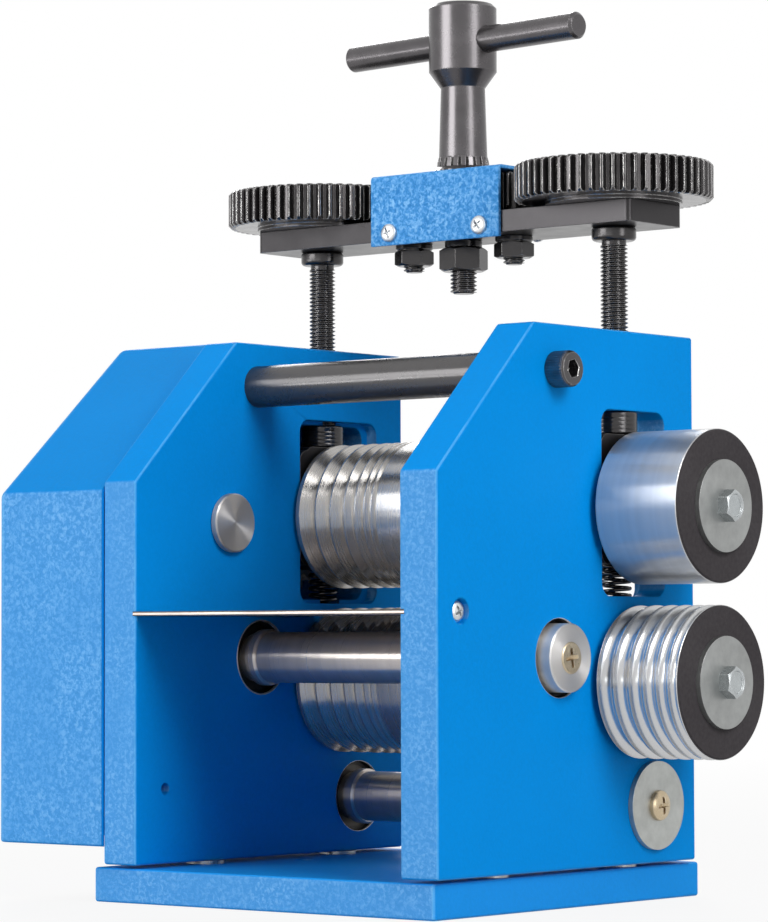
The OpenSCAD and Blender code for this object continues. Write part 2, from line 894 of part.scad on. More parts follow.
spring_low = window_floor - spring_pocket + spring_flat;
spring_high = block_bottom + spring_socket - spring_flat;
spring_climb = (spring_high - spring_low - spring_wire_d) / spring_curls;

function spring_centre(i) =
  let (a = 360 * i / spring_rings)
  [spring_mean_d / 2 * cos(a), spring_mean_d / 2 * sin(a),
   spring_low + spring_wire_d / 2 + spring_climb * i / spring_rings];

spring_steps = spring_curls * spring_rings;
echo(spring_gap = min([for (i = [spring_rings:spring_steps])
  norm(spring_centre(i) - spring_centre(i - spring_rings))]) - spring_wire_d);

// One unbroken wire: a ring of points at each step along the helix
module lift_spring() {
  points = [for (i = [0:spring_steps], k = [0:spring_sides - 1])
    let (a = 360 * i / spring_rings, b = 360 * k / spring_sides, out = spring_wire_d / 2 * cos(b))
    spring_centre(i) + [out * cos(a), out * sin(a), spring_wire_d / 2 * sin(b)]];
  sides = [for (i = [0:spring_steps - 1], k = [0:spring_sides - 1])
    let (p = i * spring_sides, q = p + spring_sides, n = (k + 1) % spring_sides)
    each [[p + k, q + k, q + n], [p + k, q + n, p + n]]];
  last = spring_steps * spring_sides;
  ends = [for (k = [1:spring_sides - 2]) each [[0, k, k + 1], [last, last + k + 1, last + k]]];
  translate([screw_offset, roll_y, 0]) polyhedron(points, concat(sides, ends));
}

module lift_spring_right() {
  color(black_oxide) lift_spring();
}

module lift_spring_left() {
  color(black_oxide) translate([-2 * screw_offset, 0, 0]) lift_spring();
}

// Layshaft and crank shaft

// Shaft between the plates, stepped down to its journals with small chamfers
module shaft_body() {
  half = plate_in - shaft_step;
  chamfered_rod(-half, half, shaft_d, shaft_step_chamfer);
  chamfered_rod(-half, -half + shaft_collar_t, shaft_collar_d, shaft_step_chamfer);
}

module layshaft() {
  end = plate_out - lay_cap_hole_t + lay_cap_gap;
  color(bright) on_axis(lay_axis) difference() {
    union() {
      shaft_body();
      rod(-plate_out - pinion_hub_gap, end, shaft_journal_d);
      rod(-plane_end, -plate_out, shaft_pilot_d);
    }
    rod(end - lay_screw_len, end + over, lay_screw_d);
  }
}

module layshaft_cap() {
  inner = plate_out - lay_cap_hole_t + lay_cap_gap;
  outer = plate_out + lay_cap_proud;
  color(bright) on_axis(lay_axis) difference() {
    chamfered_rod(inner, outer, lay_cap_d, idler_cap_chamfer);
    rod(inner - over, outer + over, lay_screw_d);
    rod(outer - lay_screw_sink, outer + over, lay_screw_head_d);
  }
}

module layshaft_screw() {
  outer = plate_out + lay_cap_proud;
  inner = plate_out - lay_cap_hole_t + lay_cap_gap;
  color(yellow_zinc) on_axis(lay_axis) {
    rod(outer - lay_screw_sink, outer + lay_screw_proud, lay_screw_head_d);
    rod(inner - lay_screw_len, outer - lay_screw_sink + over, lay_screw_d);
  }
}

module layshaft_pinion() {
  color(steel) on_axis(lay_axis) difference() {
    translate([0, 0, -plane_b - roll_gear_w])
      gear(drive_module, lay_pinion_n, plane_b + roll_gear_w - plane_a, drive_slack, lay_turn, 2);
    rod(-plane_c, -plate_out, shaft_pilot_d);
  }
}

module layshaft_gear() {
  outer_r = crank_module * (lay_gear_n / 2 - 1.25) - web_rim;
  inner_r = shaft_pilot_d / 2 + web_hub;
  color(steel) on_axis(lay_axis) difference() {
    translate([0, 0, -plane_end]) gear(crank_module, lay_gear_n, crank_gear_w, drive_slack, lower_turn, 2);
    rod(-plane_end - over, -plane_c + over, shaft_pilot_d);
    for (from = [-plane_end - over, -plane_c - web_inset])
      ring(from, from + web_inset + over, 2 * outer_r, 2 * inner_r);
  }
}

module crank_shaft() {
  color(bright) on_axis(crank_axis) difference() {
    union() {
      shaft_body();
      rod(-plate_out - pinion_hub_gap, plate_out, shaft_journal_d);
      rod(crank_end_x + crank_end_len, -plate_out, crank_seat_d);
      chamfered_rod(crank_end_x, -plate_out, crank_end_d, journal_chamfer);
    }
    rod(plate_out - lay_screw_len, plate_out + over, lay_screw_d);
  }
}

module crank_pinion() {
  color(steel) on_axis(crank_axis) difference() {
    translate([0, 0, -plane_end])
      gear(crank_module, crank_pinion_n, crank_gear_w, drive_slack, crank_turn, 2);
    rod(-plane_end - over, -plane_c + over, crank_seat_d);
  }
}

module crank_washer() {
  seat = plate_out + crank_washer_gap;
  color(zinc) on_axis(crank_axis) ring(seat, seat + crank_washer_t, crank_washer_d, lay_screw_d);
}

module crank_screw() {
  seat = plate_out + crank_washer_gap + crank_washer_t;
  color(yellow_zinc) on_axis(crank_axis) {
    rod(seat, seat + crank_screw_head_h, crank_screw_head_d);
    rod(plate_out - lay_screw_len, seat + over, lay_screw_d);
  }
}

// Drive idler

module idler_gear() {
  bore = idler_stub_d + 2 * (slip + idler_bush_wall);
  outer_r = drive_module * (drive_idler_n / 2 - 1.25) - web_rim;
  inner_r = bore / 2 + web_hub;
  color(steel) on_axis(idler_axis) difference() {
    translate([0, 0, -plane_b - roll_gear_w])
      gear(drive_module, drive_idler_n, roll_gear_w, drive_slack, idler_turn, 2);
    rod(-plane_b - roll_gear_w - over, -plane_b + over, bore);
    for (from = [-plane_b - roll_gear_w - over, -plane_b - web_inset])
      ring(from, from + web_inset + over, 2 * outer_r, 2 * inner_r);
  }
}

module idler_bush() {
  bore = idler_stub_d + 2 * slip;
  color(bronze) on_axis(idler_axis)
    ring(-plane_b - roll_gear_w, -plane_b, bore + 2 * idler_bush_wall, bore);
}

// Bridge

module at_bridge(x) {
  translate([x, roll_y, 0]) children();
}

module bridge_bar() {
  color(black_oxide) difference() {
    at_bridge(0) translate([0, 0, bridge_z]) linear_extrude(bridge_t)
      rounded_rect(bridge_len, bridge_w, bridge_edge_r);
    for (x = [-screw_offset, 0, screw_offset])
      at_bridge(x) rod(bridge_z - over, bridge_top + over, screw_d + 2 * slip);
    for (x = [-idler_offset, idler_offset])
      at_bridge(x) rod(bridge_z - over, bridge_top + over, stud_d);
    cover_pins(-over, cover_pin_bite, cover_pin_d);
  }
}

// Rods into the front and back faces of the bar, from a depth outside to a depth inside it
module cover_pins(outside, inside, d) {
  for (x = [-cover_pin_x, cover_pin_x], side = [-1, 1])
    translate([x, roll_y, bridge_z + bridge_t / 2]) rotate([side * 90, 0, 0])
      rod(bridge_w / 2 - inside, bridge_w / 2 - outside, d);
}

module pinion_cover() {
  top = gear_top + pinion_cover_gap + pinion_cover_wall;
  bottom = bridge_z - pinion_cover_drop;
  half_y = bridge_w / 2 + pinion_cover_wall;
  hole_d = adjust_module * (adjust_teeth[0] + 2) + 2 * pinion_cover_hole_play;
  color(light_blue) difference() {
    at_bridge(-pinion_cover_half) rotate([90, 0, 90]) linear_extrude(2 * pinion_cover_half)
      difference() {
        translate([0, (top + bottom) / 2]) u_outline(2 * half_y, top - bottom, pinion_cover_r);
        translate([0, (top + bottom) / 2 - pinion_cover_wall])
          u_outline(bridge_w, top - bottom, pinion_cover_r - pinion_cover_wall);
      }
    at_bridge(0) rod(gear_top, top + over, hole_d);
    cover_pins(-pinion_cover_wall - over, over, cover_pin_d);
  }
}

// Upright rectangle with only its upper corners rounded
module u_outline(w, h, r) {
  translate([-w / 2, -h / 2]) square([w, h - r]);
  translate([-w / 2 + r, -h / 2]) square([w - 2 * r, h]);
  for (x = [-1, 1]) translate([x * (w / 2 - r), h / 2 - r]) circle(r);
}

module pinion_cover_screws() {
  color(zinc) {
    cover_pins(-pinion_cover_wall - over / 2, cover_pin_bite, cover_pin_d);
    cover_pins(-pinion_cover_wall - cover_pin_head_h, -pinion_cover_wall, cover_pin_head_d);
  }
}

module idler_studs() {
  head_z = gear_top - stud_head_h;
  color(black_oxide) for (x = [-idler_offset, idler_offset]) at_bridge(x) {
    rod(bridge_z - nut_washer_t - stud_nut_h - stud_tip, head_z + over, stud_d);
    rod(head_z, gear_top, stud_head_d);
  }
}

module idler_nuts() {
  seat = bridge_z - nut_washer_t;
  color(black_oxide) for (x = [-idler_offset, idler_offset]) at_bridge(x) difference() {
    union() {
      rod(seat, bridge_z, nut_washer_d);
      mirror([0, 0, 1]) rotate(stud_nut_turn) hex_head(-seat, -seat + stud_nut_h, stud_nut_af);
    }
    rod(seat - stud_nut_h - over, bridge_z + over, stud_d);
  }
}

module small_idler(x, turn) {
  color(black_oxide) at_bridge(x) difference() {
    translate([0, 0, gear_z]) chamfered_gear(adjust_teeth[1], adjust_gear_w, turn, tooth_chamfer);
    rod(gear_z - over, gear_top + over, stud_d + 2 * slip);
    rod(gear_top - stud_head_h - stud_sink_play, gear_top + over, stud_sink_d);
  }
  color(black_oxide) at_bridge(x)
    ring(bridge_top + slip, gear_z, stud_d + 2 * (bush_wall + slip), stud_d + 2 * slip);
}

function small_turn(side) = mesh_turn(0, adjust_teeth[0], adjust_teeth[1], side);
function big_turn(side) = mesh_turn(small_turn(side), adjust_teeth[1], adjust_teeth[2], side);

module small_idler_right() {
  small_idler(idler_offset, small_turn(0));
}

module small_idler_left() {
  small_idler(-idler_offset, small_turn(180));
}

// Adjusting screws and their gears

module adjust_screw(x) {
  foot_z = block_top + foot_play;
  color(black_oxide) at_bridge(x) {
    chamfered_rod(foot_z, foot_z + foot_h, foot_d, foot_chamfer);
    rod(foot_z, bridge_z - collar_h - neck_h, screw_d);
    rod(foot_z, gear_top - gear_nut_depth + gear_nut_h, neck_d);
    rod(bridge_z - slip - over, gear_top - gear_nut_depth + gear_nut_h, screw_d);
    chamfered_rod(bridge_z - collar_h, bridge_z - slip, collar_d, collar_edge);
  }
}

module adjust_gear(x, turn) {
  color(black_oxide) at_bridge(x) difference() {
    union() {
      translate([0, 0, gear_z]) chamfered_gear(adjust_teeth[2], adjust_gear_w, turn, tooth_chamfer);
      rod(bridge_top + slip, gear_z + over, hub_d);
    }
    rod(bridge_z, gear_top + over, screw_d);
    rod(gear_top - gear_nut_depth, gear_top + over, gear_nut_d);
  }
}

module adjust_nut(x) {
  seat = gear_top - gear_nut_depth;
  color(black_oxide) at_bridge(x) difference() {
    hex_head(seat, seat + gear_nut_h, gear_nut_af);
    rod(seat - over, seat + gear_nut_h + over, screw_d);
  }
}

module adjust_screw_left() {
  adjust_screw(-screw_offset);
}

module adjust_screw_right() {
  adjust_screw(screw_offset);
}

module adjust_gear_left() {
  adjust_gear(-screw_offset, big_turn(180));
}

module adjust_gear_right() {
  adjust_gear(screw_offset, big_turn(0));
}

module adjust_nut_left() {
  adjust_nut(-screw_offset);
}

module adjust_nut_right() {
  adjust_nut(screw_offset);
}

// T handle

module handle_spindle() {
  pinion_r = adjust_module * (adjust_teeth[0] / 2 + 1);
  top = bridge_top + handle_rise;
  runout = (pinion_r + over - stem_low_d / 2) * runout_slope;
  tip = bridge_z - handle_nut_washer_t - handle_nut_h - handle_tip;
  color(black_oxide) at_bridge(0) difference() {
    union() {
      intersection() {
        translate([0, 0, bridge_top + slip])
          gear(adjust_module, adjust_teeth[0], stem_z - bridge_top, adjust_slack, 0);
        rotate_extrude() polygon([
          [0, bridge_top], [pinion_r + over, bridge_top], [pinion_r + over, stem_z - runout],
          [stem_low_d / 2, stem_z], [0, stem_z]]);
      }
      rotate_extrude() polygon([
        [0, stem_z - over], [stem_low_d / 2, stem_z - over], [stem_low_d / 2, stem_z],
        [stem_high_d / 2, neck_z], [head_d / 2, head_z], [head_d / 2, top - head_rim],
        [head_d / 2 - head_rim, top], [0, top]]);
      rod(tip, bridge_top + over, screw_d);
    }
    translate([0, 0, tommy_z]) rotate([0, 90, tommy_turn]) rod(-head_d, head_d, tommy_d);
  }
}

module handle_bar() {
  color(black_oxide) at_bridge(0) translate([0, 0, tommy_z]) rotate([0, 90, tommy_turn])
    chamfered_rod(-tommy_len / 2, tommy_len / 2, tommy_d, tommy_chamfer);
}

module handle_nut() {
  seat = bridge_z - handle_nut_washer_t;
  color(black_oxide) at_bridge(0) difference() {
    union() {
      rod(seat, bridge_z - slip, nut_washer_d);
      mirror([0, 0, 1]) rotate(handle_nut_turn)
        hex_head(-seat, -seat + handle_nut_h, handle_nut_af);
    }
    rod(seat - handle_nut_h - over, bridge_z + over, screw_d);
  }
}

base_plate();
side_plate_left();
side_plate_right();
foot_washers();
foot_screws();
tie_rod();
tie_rod_screws();
guide_sheet();
guide_screws();
gear_cover();
cover_posts();
cover_screws();
plate_bushes();
idler_stub();
idler_retainers();
lower_roll();
lower_roll_gear();
lower_side_roll();
lower_side_washer();
lower_end_bolt();
lower_roll_keys();
upper_roll();
upper_roll_gear();
upper_side_roll();
upper_side_washer();
upper_end_bolt();
upper_roll_keys();
thrust_rings();
bearing_block_left();
bearing_block_right();
block_bushes();
lift_spring_left();
lift_spring_right();
layshaft();
layshaft_gear();
layshaft_pinion();
layshaft_cap();
layshaft_screw();
crank_shaft();
crank_pinion();
crank_washer();
crank_screw();
idler_gear();
idler_bush();
bridge_bar();
pinion_cover();
pinion_cover_screws();
idler_studs();
idler_nuts();
adjust_screw_left();
adjust_screw_right();
adjust_gear_left();
adjust_gear_right();
adjust_nut_left();
adjust_nut_right();
handle_spindle();
handle_bar();
handle_nut();
small_idler_left();
small_idler_right();
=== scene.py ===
"""Looks of the rolling mill: paint, metals, threads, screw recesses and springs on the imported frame."""
import math

import bmesh
import bpy
from mathutils import Matrix, Vector

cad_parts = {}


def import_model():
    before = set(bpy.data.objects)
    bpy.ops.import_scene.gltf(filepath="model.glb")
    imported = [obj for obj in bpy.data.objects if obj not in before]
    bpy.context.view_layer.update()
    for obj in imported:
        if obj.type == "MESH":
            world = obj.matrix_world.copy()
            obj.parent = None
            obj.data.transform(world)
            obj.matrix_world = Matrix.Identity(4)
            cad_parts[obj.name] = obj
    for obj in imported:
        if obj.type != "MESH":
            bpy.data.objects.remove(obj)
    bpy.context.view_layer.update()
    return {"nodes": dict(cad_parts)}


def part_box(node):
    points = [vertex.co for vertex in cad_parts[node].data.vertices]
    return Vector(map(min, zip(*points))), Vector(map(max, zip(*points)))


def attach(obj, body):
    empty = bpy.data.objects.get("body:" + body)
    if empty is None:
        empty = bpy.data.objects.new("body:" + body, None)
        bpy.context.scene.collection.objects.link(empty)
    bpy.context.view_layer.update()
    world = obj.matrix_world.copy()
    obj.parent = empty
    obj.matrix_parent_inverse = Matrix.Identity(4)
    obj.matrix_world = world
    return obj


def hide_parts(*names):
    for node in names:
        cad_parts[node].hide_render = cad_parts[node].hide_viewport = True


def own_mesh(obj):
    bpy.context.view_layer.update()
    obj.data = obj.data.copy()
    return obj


# Sizes are in millimetres and turns in degrees, unless a name says otherwise
MM = 0.001
CAMERA_MM = (855.77, -1056.68, 96.24)
CAMERA_YAW = 39.257
CAMERA_PITCH = -2.6865
CAMERA_ROLL = -0.166
FOCAL_PX = 3716.1
FRAME_PX = 922
SENSOR_MM = 36.0
CLIP_END_M = 50

# Meshes
MERGE_GAP = 0.001
HULL_SLACK = 0.02

# Screws, studs and nuts
THREAD_D = 10.0
THREAD_PITCH = 1.5
THREAD_DEPTH = 0.92
THREAD_SIDES = 40
STUD_D = 8.0
STUD_COLLAR_R = 6.25
STUD_THREAD_PITCH = 1.25
STUD_THREAD_DEPTH = 0.77
STUD_NUT_ACROSS = 13.0
STUD_NUT_H = 6.0
STUD_NUT_TURN = 30.0
BIG_NUT_ACROSS = 16.0
BIG_NUT_H = 8.8
BIG_NUT_TURN = -12.0
NUT_WASHER_D = 14.0
WASHER_CHAMFER = 0.4
WASHER_TOP_CHAMFER = 0.3
NUT_CROWN_SHARE = 0.94
CHAMFER_SLOPE = 0.58

# Threaded tips below the nuts, which replace what lies under a cut through the node
TIP_INSET = 0.4
TIP_CHAMFER_H = 0.5
TIP_TOP = 0.8
TIP_THREAD_LOW = 0.6
SPINDLE_CUT_RISE = 1.0
SPINDLE_CUT_R = 6.0
STUDS_CUT_RISE = 0.8
STUDS_CUT_R = 200.0

# Adjusting screw: its foot in the window and its collar under the bridge bar
FOOT_H = 8.5
FOOT_CHAMFER = 0.8
FOOT_TOP_CHAMFER = 0.6
FOOT_LINES = 4
FOOT_LINE_START = 1.6
FOOT_LINE_PITCH = 1.5
FOOT_LINE_DEPTH = 0.04
FOOT_LINE_STEP = 0.1
ROOT_R = 4.1
NECK_R = 4.5
NECK_LOW_DROP = 6.6
NECK_DROP = 6.4
NECK_TOP_DROP = 5.05
COLLAR_H = 5.0
COLLAR_ROUND_R = 1.5
COLLAR_TOP_DROP = 0.8
COLLAR_CHAMFER = 0.5
BAR_PLAY = 0.1
THREAD_TOP_DROP = 6.5
THREAD_OVERLAP = 0.2
SCREW_END_CHAMFER = 0.7

# Handle's pinion where its teeth run out in the stem
STEM_D = 18.4
PINION_TEETH = 21
RUNOUT_RISE = 20.0
RUNOUT_BELOW = 2.5
RUNOUT_ABOVE = 2.9
RUNOUT_TOOTH_SHARE = 0.62
RUNOUT_TOOTH_RISE = 0.9
RUNOUT_BACK_RISE = 0.5
RUNOUT_BACK_DROP = 1.4
RUNOUT_ROOT_DEPTH = 0.5
RUNOUT_END = 0.3
RUNOUT_SKIN = 0.05
SLEEVE_DEPTH = 1.0

# Pinion cover's rear wall, which ends a little above the bar's lower face
COVER_PAST_BAR = 0.2

# Knurled head of the tie rod's screws
SOCKET_HEAD_H = 8.0
SOCKET_RIDGES = 40
SOCKET_RIDGE_DEPTH = 0.22
SOCKET_CHAMFER = 0.3
SOCKET_RIDGE_TOP_DROP = 1.3
SOCKET_NECK_INSET = 0.15
SOCKET_NECK_LOW_DROP = 1.1
SOCKET_NECK_TOP_DROP = 0.7
SOCKET_TOP_INSET = 0.75
SOCKET_HEX_R = 3.46
SOCKET_HEX_OVER = 1.0
SOCKET_DEPTH = 4.5
SOCKET_TURN = 12.0

# Cross-head screws
PIN_HEAD_D = 7.0
PIN_HEAD_H = 1.8
PIN_HEAD_INSET = 3.1
PIN_HEAD_DROP = 1.0
PIN_HEAD_BITE = 1.7
PIN_HEAD_TURNS = (20, 40, 10, 70)
GUIDE_HEAD_D = 7.4
GUIDE_HEAD_TURN = 30
COVER_HEAD_TURN = 25
SCREW_HEAD_H = 2.6
LAYSHAFT_HEAD_H = 3.5
LAYSHAFT_HEAD_TURN = 8
CRANK_HEAD_TURN = 5
FLAT_HEAD_CHAMFER = 0.35
DOME_FOOT_SHARE = 0.25
DOME_BEND = 0.8
HEAD_OVER = 0.2
CROSS_TOP_SHARES = (0.33, 0.07)
CROSS_FLOOR_SHARES = (0.15, 0.05)
CROSS_FLOOR_H_SHARE = 0.2

# Hexagon heads of the side rolls' bolts
BOLT_CROWN_SHARE = 0.95
BOLT_RIM = 0.55
BOLT_DISH = 0.6
BOLT_DISH_INSET = 0.95
BOLT_TURN = 30

# Lift springs
SPRING_TURNS = 7
SPRING_WIRE_D = 1.4
SPRING_MEAN_D = 10.1

# Nodes that stay, with the width of their rounded edges
SOFT_EDGES = (("lower_side_washer", 0.5), ("upper_side_washer", 0.5), ("crank_washer", 0.4),
              ("layshaft_cap", 0.5), ("idler_stub", 0.4), ("bridge_bar", 0.8))

# Painted plates
PLATE_EDGE_R = 1.0
SQUARE_BACK = 5.0
ROLL_BORE_R = 17.05
LAYSHAFT_BORE_R = 14.0
CRANK_BORE_R = 13.5
BORE_FADE = 0.15
RIM_FADE = (0.9, 1.1)

# Black ends of the side rolls, and the dark bands on the guide sheet's edge
BLACK_END_W = 0.55
BLACK_FADE = 0.1
SHEET_TOP_SHARES = (0.35, 0.25)
SHEET_FOOT_SHARES = (0.15, 0.25)

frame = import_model()
nodes = frame["nodes"]


def mm_box(node):
    """The node's lowest and highest corners in millimetres."""
    low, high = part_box(node)
    return [v / MM for v in low], [v / MM for v in high]


def middle(low, high):
    """The point halfway between two corners."""
    return [(a + b) / 2 for a, b in zip(low, high)]


# Camera

def aim_camera():
    yaw, pitch, roll = (math.radians(a) for a in (CAMERA_YAW, CAMERA_PITCH, CAMERA_ROLL))
    ahead = Vector((-math.sin(yaw), math.cos(yaw), 0)) * math.cos(pitch)
    forward = ahead - Vector((0, 0, math.sin(pitch)))
    right = Vector((math.cos(yaw), math.sin(yaw), 0))
    up = right.cross(forward)
    across = right * math.cos(roll) + up * math.sin(roll)
    upward = up * math.cos(roll) - right * math.sin(roll)
    data = bpy.data.cameras.new("camera")
    data.sensor_fit = "AUTO"
    data.sensor_width = SENSOR_MM
    data.lens = SENSOR_MM * FOCAL_PX / FRAME_PX
    data.clip_end = CLIP_END_M
    camera = bpy.data.objects.new("camera", data)
    bpy.context.scene.collection.objects.link(camera)
    turn = Matrix((across, upward, -forward)).transposed()
    camera.matrix_world = Matrix.Translation(Vector(CAMERA_MM) * MM) @ turn.to_4x4()
    bpy.context.scene.camera = camera


# Materials

class Shader:
    """A material with one Principled shader and short ways to wire its nodes."""

    def __init__(self, name):
        self.material = bpy.data.materials.new(name)
        self.material.use_nodes = True
        self.tree = self.material.node_tree
        self.surface = self.tree.nodes["Principled BSDF"]
        self.place = self.add("ShaderNodeTexCoord").outputs["Object"]

    def add(self, kind, **settings):
        made = self.tree.nodes.new(kind)
        for key, value in settings.items():
            setattr(made, key, value)
        return made

    def link(self, source, target):
        self.tree.links.new(source, target)

    def set(self, **values):
        for name, value in values.items():
            self.surface.inputs[name.replace("_", " ")].default_value = value

    def noise(self, scale, detail=3.0, roughness=0.55, stretch=None, bend=0.0):
        made = self.add("ShaderNodeTexNoise")
        made.inputs["Scale"].default_value = scale
        made.inputs["Detail"].default_value = detail
        made.inputs["Roughness"].default_value = roughness
        made.inputs["Distortion"].default_value = bend
        if stretch:
            moved = self.add("ShaderNodeMapping")
            moved.inputs["Scale"].default_value = stretch
            self.link(self.place, moved.inputs["Vector"])
            self.link(moved.outputs["Vector"], made.inputs["Vector"])
        else:
            self.link(self.place, made.inputs["Vector"])
        return made.outputs["Fac"]

    def along(self, axis):
        """The place along X, Y or Z, in metres."""
        split = self.add("ShaderNodeSeparateXYZ")
        self.link(self.place, split.inputs["Vector"])
        return split.outputs[axis]

    def vector(self, kind, a, b=None):
        made = self.add("ShaderNodeVectorMath", operation=kind)
        for socket, value in zip(made.inputs, (a, b)):
            if isinstance(value, tuple):
                socket.default_value = value
            elif value is not None:
                self.link(value, socket)
        return made

    def from_axis(self, y, z):
        """The distance from a line along X, in metres."""
        moved = self.vector("SUBTRACT", self.place, (0, y * MM, z * MM))
        flat = self.vector("MULTIPLY", moved.outputs["Vector"], (0, 1, 1))
        return self.vector("LENGTH", flat.outputs["Vector"]).outputs["Value"]

    def math(self, kind, a, b=0.0):
        made = self.add("ShaderNodeMath", operation=kind)
        for socket, value in zip(made.inputs, (a, b)):
            if isinstance(value, (int, float)):
                socket.default_value = value
            else:
                self.link(value, socket)
        return made.outputs["Value"]

    def spread(self, value, low, high, to_low=0.0, to_high=1.0):
        made = self.add("ShaderNodeMapRange", clamp=True)
        made.inputs["From Min"].default_value = low
        made.inputs["From Max"].default_value = high
        made.inputs["To Min"].default_value = to_low
        made.inputs["To Max"].default_value = to_high
        self.link(value, made.inputs["Value"])
        return made.outputs["Result"]

    def mix(self, share, first, second):
        made = self.add("ShaderNodeMix", data_type="RGBA")
        self.link(share, made.inputs["Factor"])
        for socket, value in ((made.inputs[6], first), (made.inputs[7], second)):
            if isinstance(value, tuple):
                socket.default_value = (*value, 1)
            else:
                self.link(value, socket)
        return made.outputs[2]

    def highest(self, masks):
        found = masks[0]
        for mask in masks[1:]:
            found = self.math("MAXIMUM", found, mask)
        return found

    def normal(self, kind, axis):
        """How far the smooth Normal or the True Normal points along +X, +Y or +Z, from -1 to 1."""
        geometry = self.add("ShaderNodeNewGeometry")
        split = self.add("ShaderNodeSeparateXYZ")
        self.link(geometry.outputs[kind], split.inputs["Vector"])
        return split.outputs[axis]

    def rounded_normal(self, radius_mm):
        made = self.add("ShaderNodeBevel", samples=4)
        made.inputs["Radius"].default_value = radius_mm * MM
        return made.outputs["Normal"]

    def edge(self, radius_mm):
        """1 on an outer edge and 0 elsewhere."""
        geometry = self.add("ShaderNodeNewGeometry")
        alike = self.vector("DOT_PRODUCT", self.rounded_normal(radius_mm), geometry.outputs["Normal"])
        return self.spread(self.math("SUBTRACT", 1.0, alike.outputs["Value"]), 0.02, 0.2)

    def round_edge(self):
        """1 on the rounding of an edge of the faces that look along X, and 0 elsewhere."""
        across = self.math("ABSOLUTE", self.normal("Normal", "X"))
        return self.spread(self.math("MULTIPLY", across, self.math("SUBTRACT", 1.0, across)), 0.1, 0.2)

    def relief(self, height, depth_mm, strength, edge_mm=0.0):
        bump = self.add("ShaderNodeBump")
        bump.inputs["Distance"].default_value = depth_mm * MM
        bump.inputs["Strength"].default_value = strength
        self.link(height, bump.inputs["Height"])
        if edge_mm:
            self.link(self.rounded_normal(edge_mm), bump.inputs["Normal"])
        self.link(bump.outputs["Normal"], self.surface.inputs["Normal"])

    def turned_sheen(self, amount):
        """Gloss that is drawn out across the rings of a piece turned about X."""
        self.set(Anisotropic=amount, Anisotropic_Rotation=0.25)
        around = self.add("ShaderNodeTangent", direction_type="RADIAL", axis="X")
        self.link(around.outputs["Tangent"], self.surface.inputs["Tangent"])

    def colour(self, value):
        self.link(value, self.surface.inputs["Base Color"])

    def roughness(self, value):
        self.link(value, self.surface.inputs["Roughness"])


def scaled(values, share):
    return tuple(v * share for v in values)


def bare_bores(made, tint, bores, faces):
    """The tint with bare walls in the bores along X, which are painted bright close to the faces as a
    highlight.
    """
    bare = made.highest([made.spread(made.from_axis(y, z), radius * MM, (radius + BORE_FADE) * MM, 1.0, 0.0)
                         for y, z, radius in bores])
    away = [made.math("ABSOLUTE", made.math("SUBTRACT", made.along("X"), face * MM)) for face in faces]
    # Painted highlight on the bore walls close to the faces.
    rim = made.highest([made.spread(gap, RIM_FADE[0] * MM, RIM_FADE[1] * MM, 1.0, 0.0) for gap in away])
    made.link(bare, made.surface.inputs["Metallic"])
    return made.mix(bare, tint, made.mix(rim, WALL_GREY, RIM_HIGHLIGHT_GREY))


def paint(name, deep, front_share, fleck_and_highlight_share, dent_shade_share, peel_mm, bores=(), faces=()):
    """Powder coat with orange peel, lighter on its bumps by the share after front_share and darker in
    its dents by the share after that: lighter flecks that are partly painted highlights on the bumps,
    and painted shade in the dents.

    deep is the colour away from the front. The faces that look to the front get a lighter blue, which
    is painted light, and front_share is how much of the front's look the other faces have. bores are
    the (y, z, radius) of bare holes along X, and faces are the places along X, in millimetres, where
    their walls begin.
    """
    made = Shader(name)
    ahead = made.math("MULTIPLY", made.normal("True Normal", "Y"), -1.0)
    front = made.spread(ahead, 0.8, 0.95, front_share, 1.0)
    peel = made.noise(PEEL_SCALE, 2.5, 0.55, bend=0.6)
    patch = made.spread(made.noise(45.0, 2.0), 0.35, 0.65, 0.4, 1.0)
    cloud = made.spread(made.noise(14.0, 3.0), 0.3, 0.7)
    ground = made.mix(cloud, scaled(deep, 0.95), scaled(deep, 1.04))
    # Painted highlight: the coat is a little lighter on the tops of its peel.
    ground = made.mix(made.spread(peel, 0.35, 0.68, 0.0, 0.5), ground, scaled(deep, 1.12))
    # Painted light: the faces that look to the front take a lighter blue.
    tint = made.mix(front, ground, HAMMERED_AND_FRONT_LIT_BLUE)
    # Painted shade: the dents of the peel are darker on the front.
    dent = made.math("MULTIPLY", made.spread(peel, 0.32, 0.5, 1.0, 0.0), front)
    tint = made.mix(made.math("MULTIPLY", dent, dent_shade_share), tint, DENT_SHADE_BLUE)
    # Lighter flecks on the front's bumps, partly the coat's own specks and partly painted highlights.
    fleck_and_highlight = made.math("MULTIPLY", made.math("MULTIPLY", made.spread(peel, 0.47, 0.66), patch), front)
    tint = made.mix(made.math("MULTIPLY", fleck_and_highlight, fleck_and_highlight_share), tint, FLECK_AND_HIGHLIGHT_BLUE)
    # Painted highlight: a lighter blue on the rounded edges, in patches.
    edge_highlight = made.spread(made.noise(90.0, 3.0), 0.3, 0.65, 0.12, 0.42)
    tint = made.mix(made.math("MULTIPLY", made.round_edge(), edge_highlight), tint, EDGE_HIGHLIGHT_BLUE)
    if bores:
        tint = bare_bores(made, tint, bores, faces)
    made.colour(tint)
    height = made.math("MULTIPLY", peel, made.spread(front, 0.0, 1.0, 0.35, 1.0))
    made.relief(height, peel_mm, 0.6, 0.8)
    made.roughness(made.spread(peel, 0.3, 0.7, 0.42, 0.5))
    made.set(Specular_IOR_Level=0.04)
    return made.material


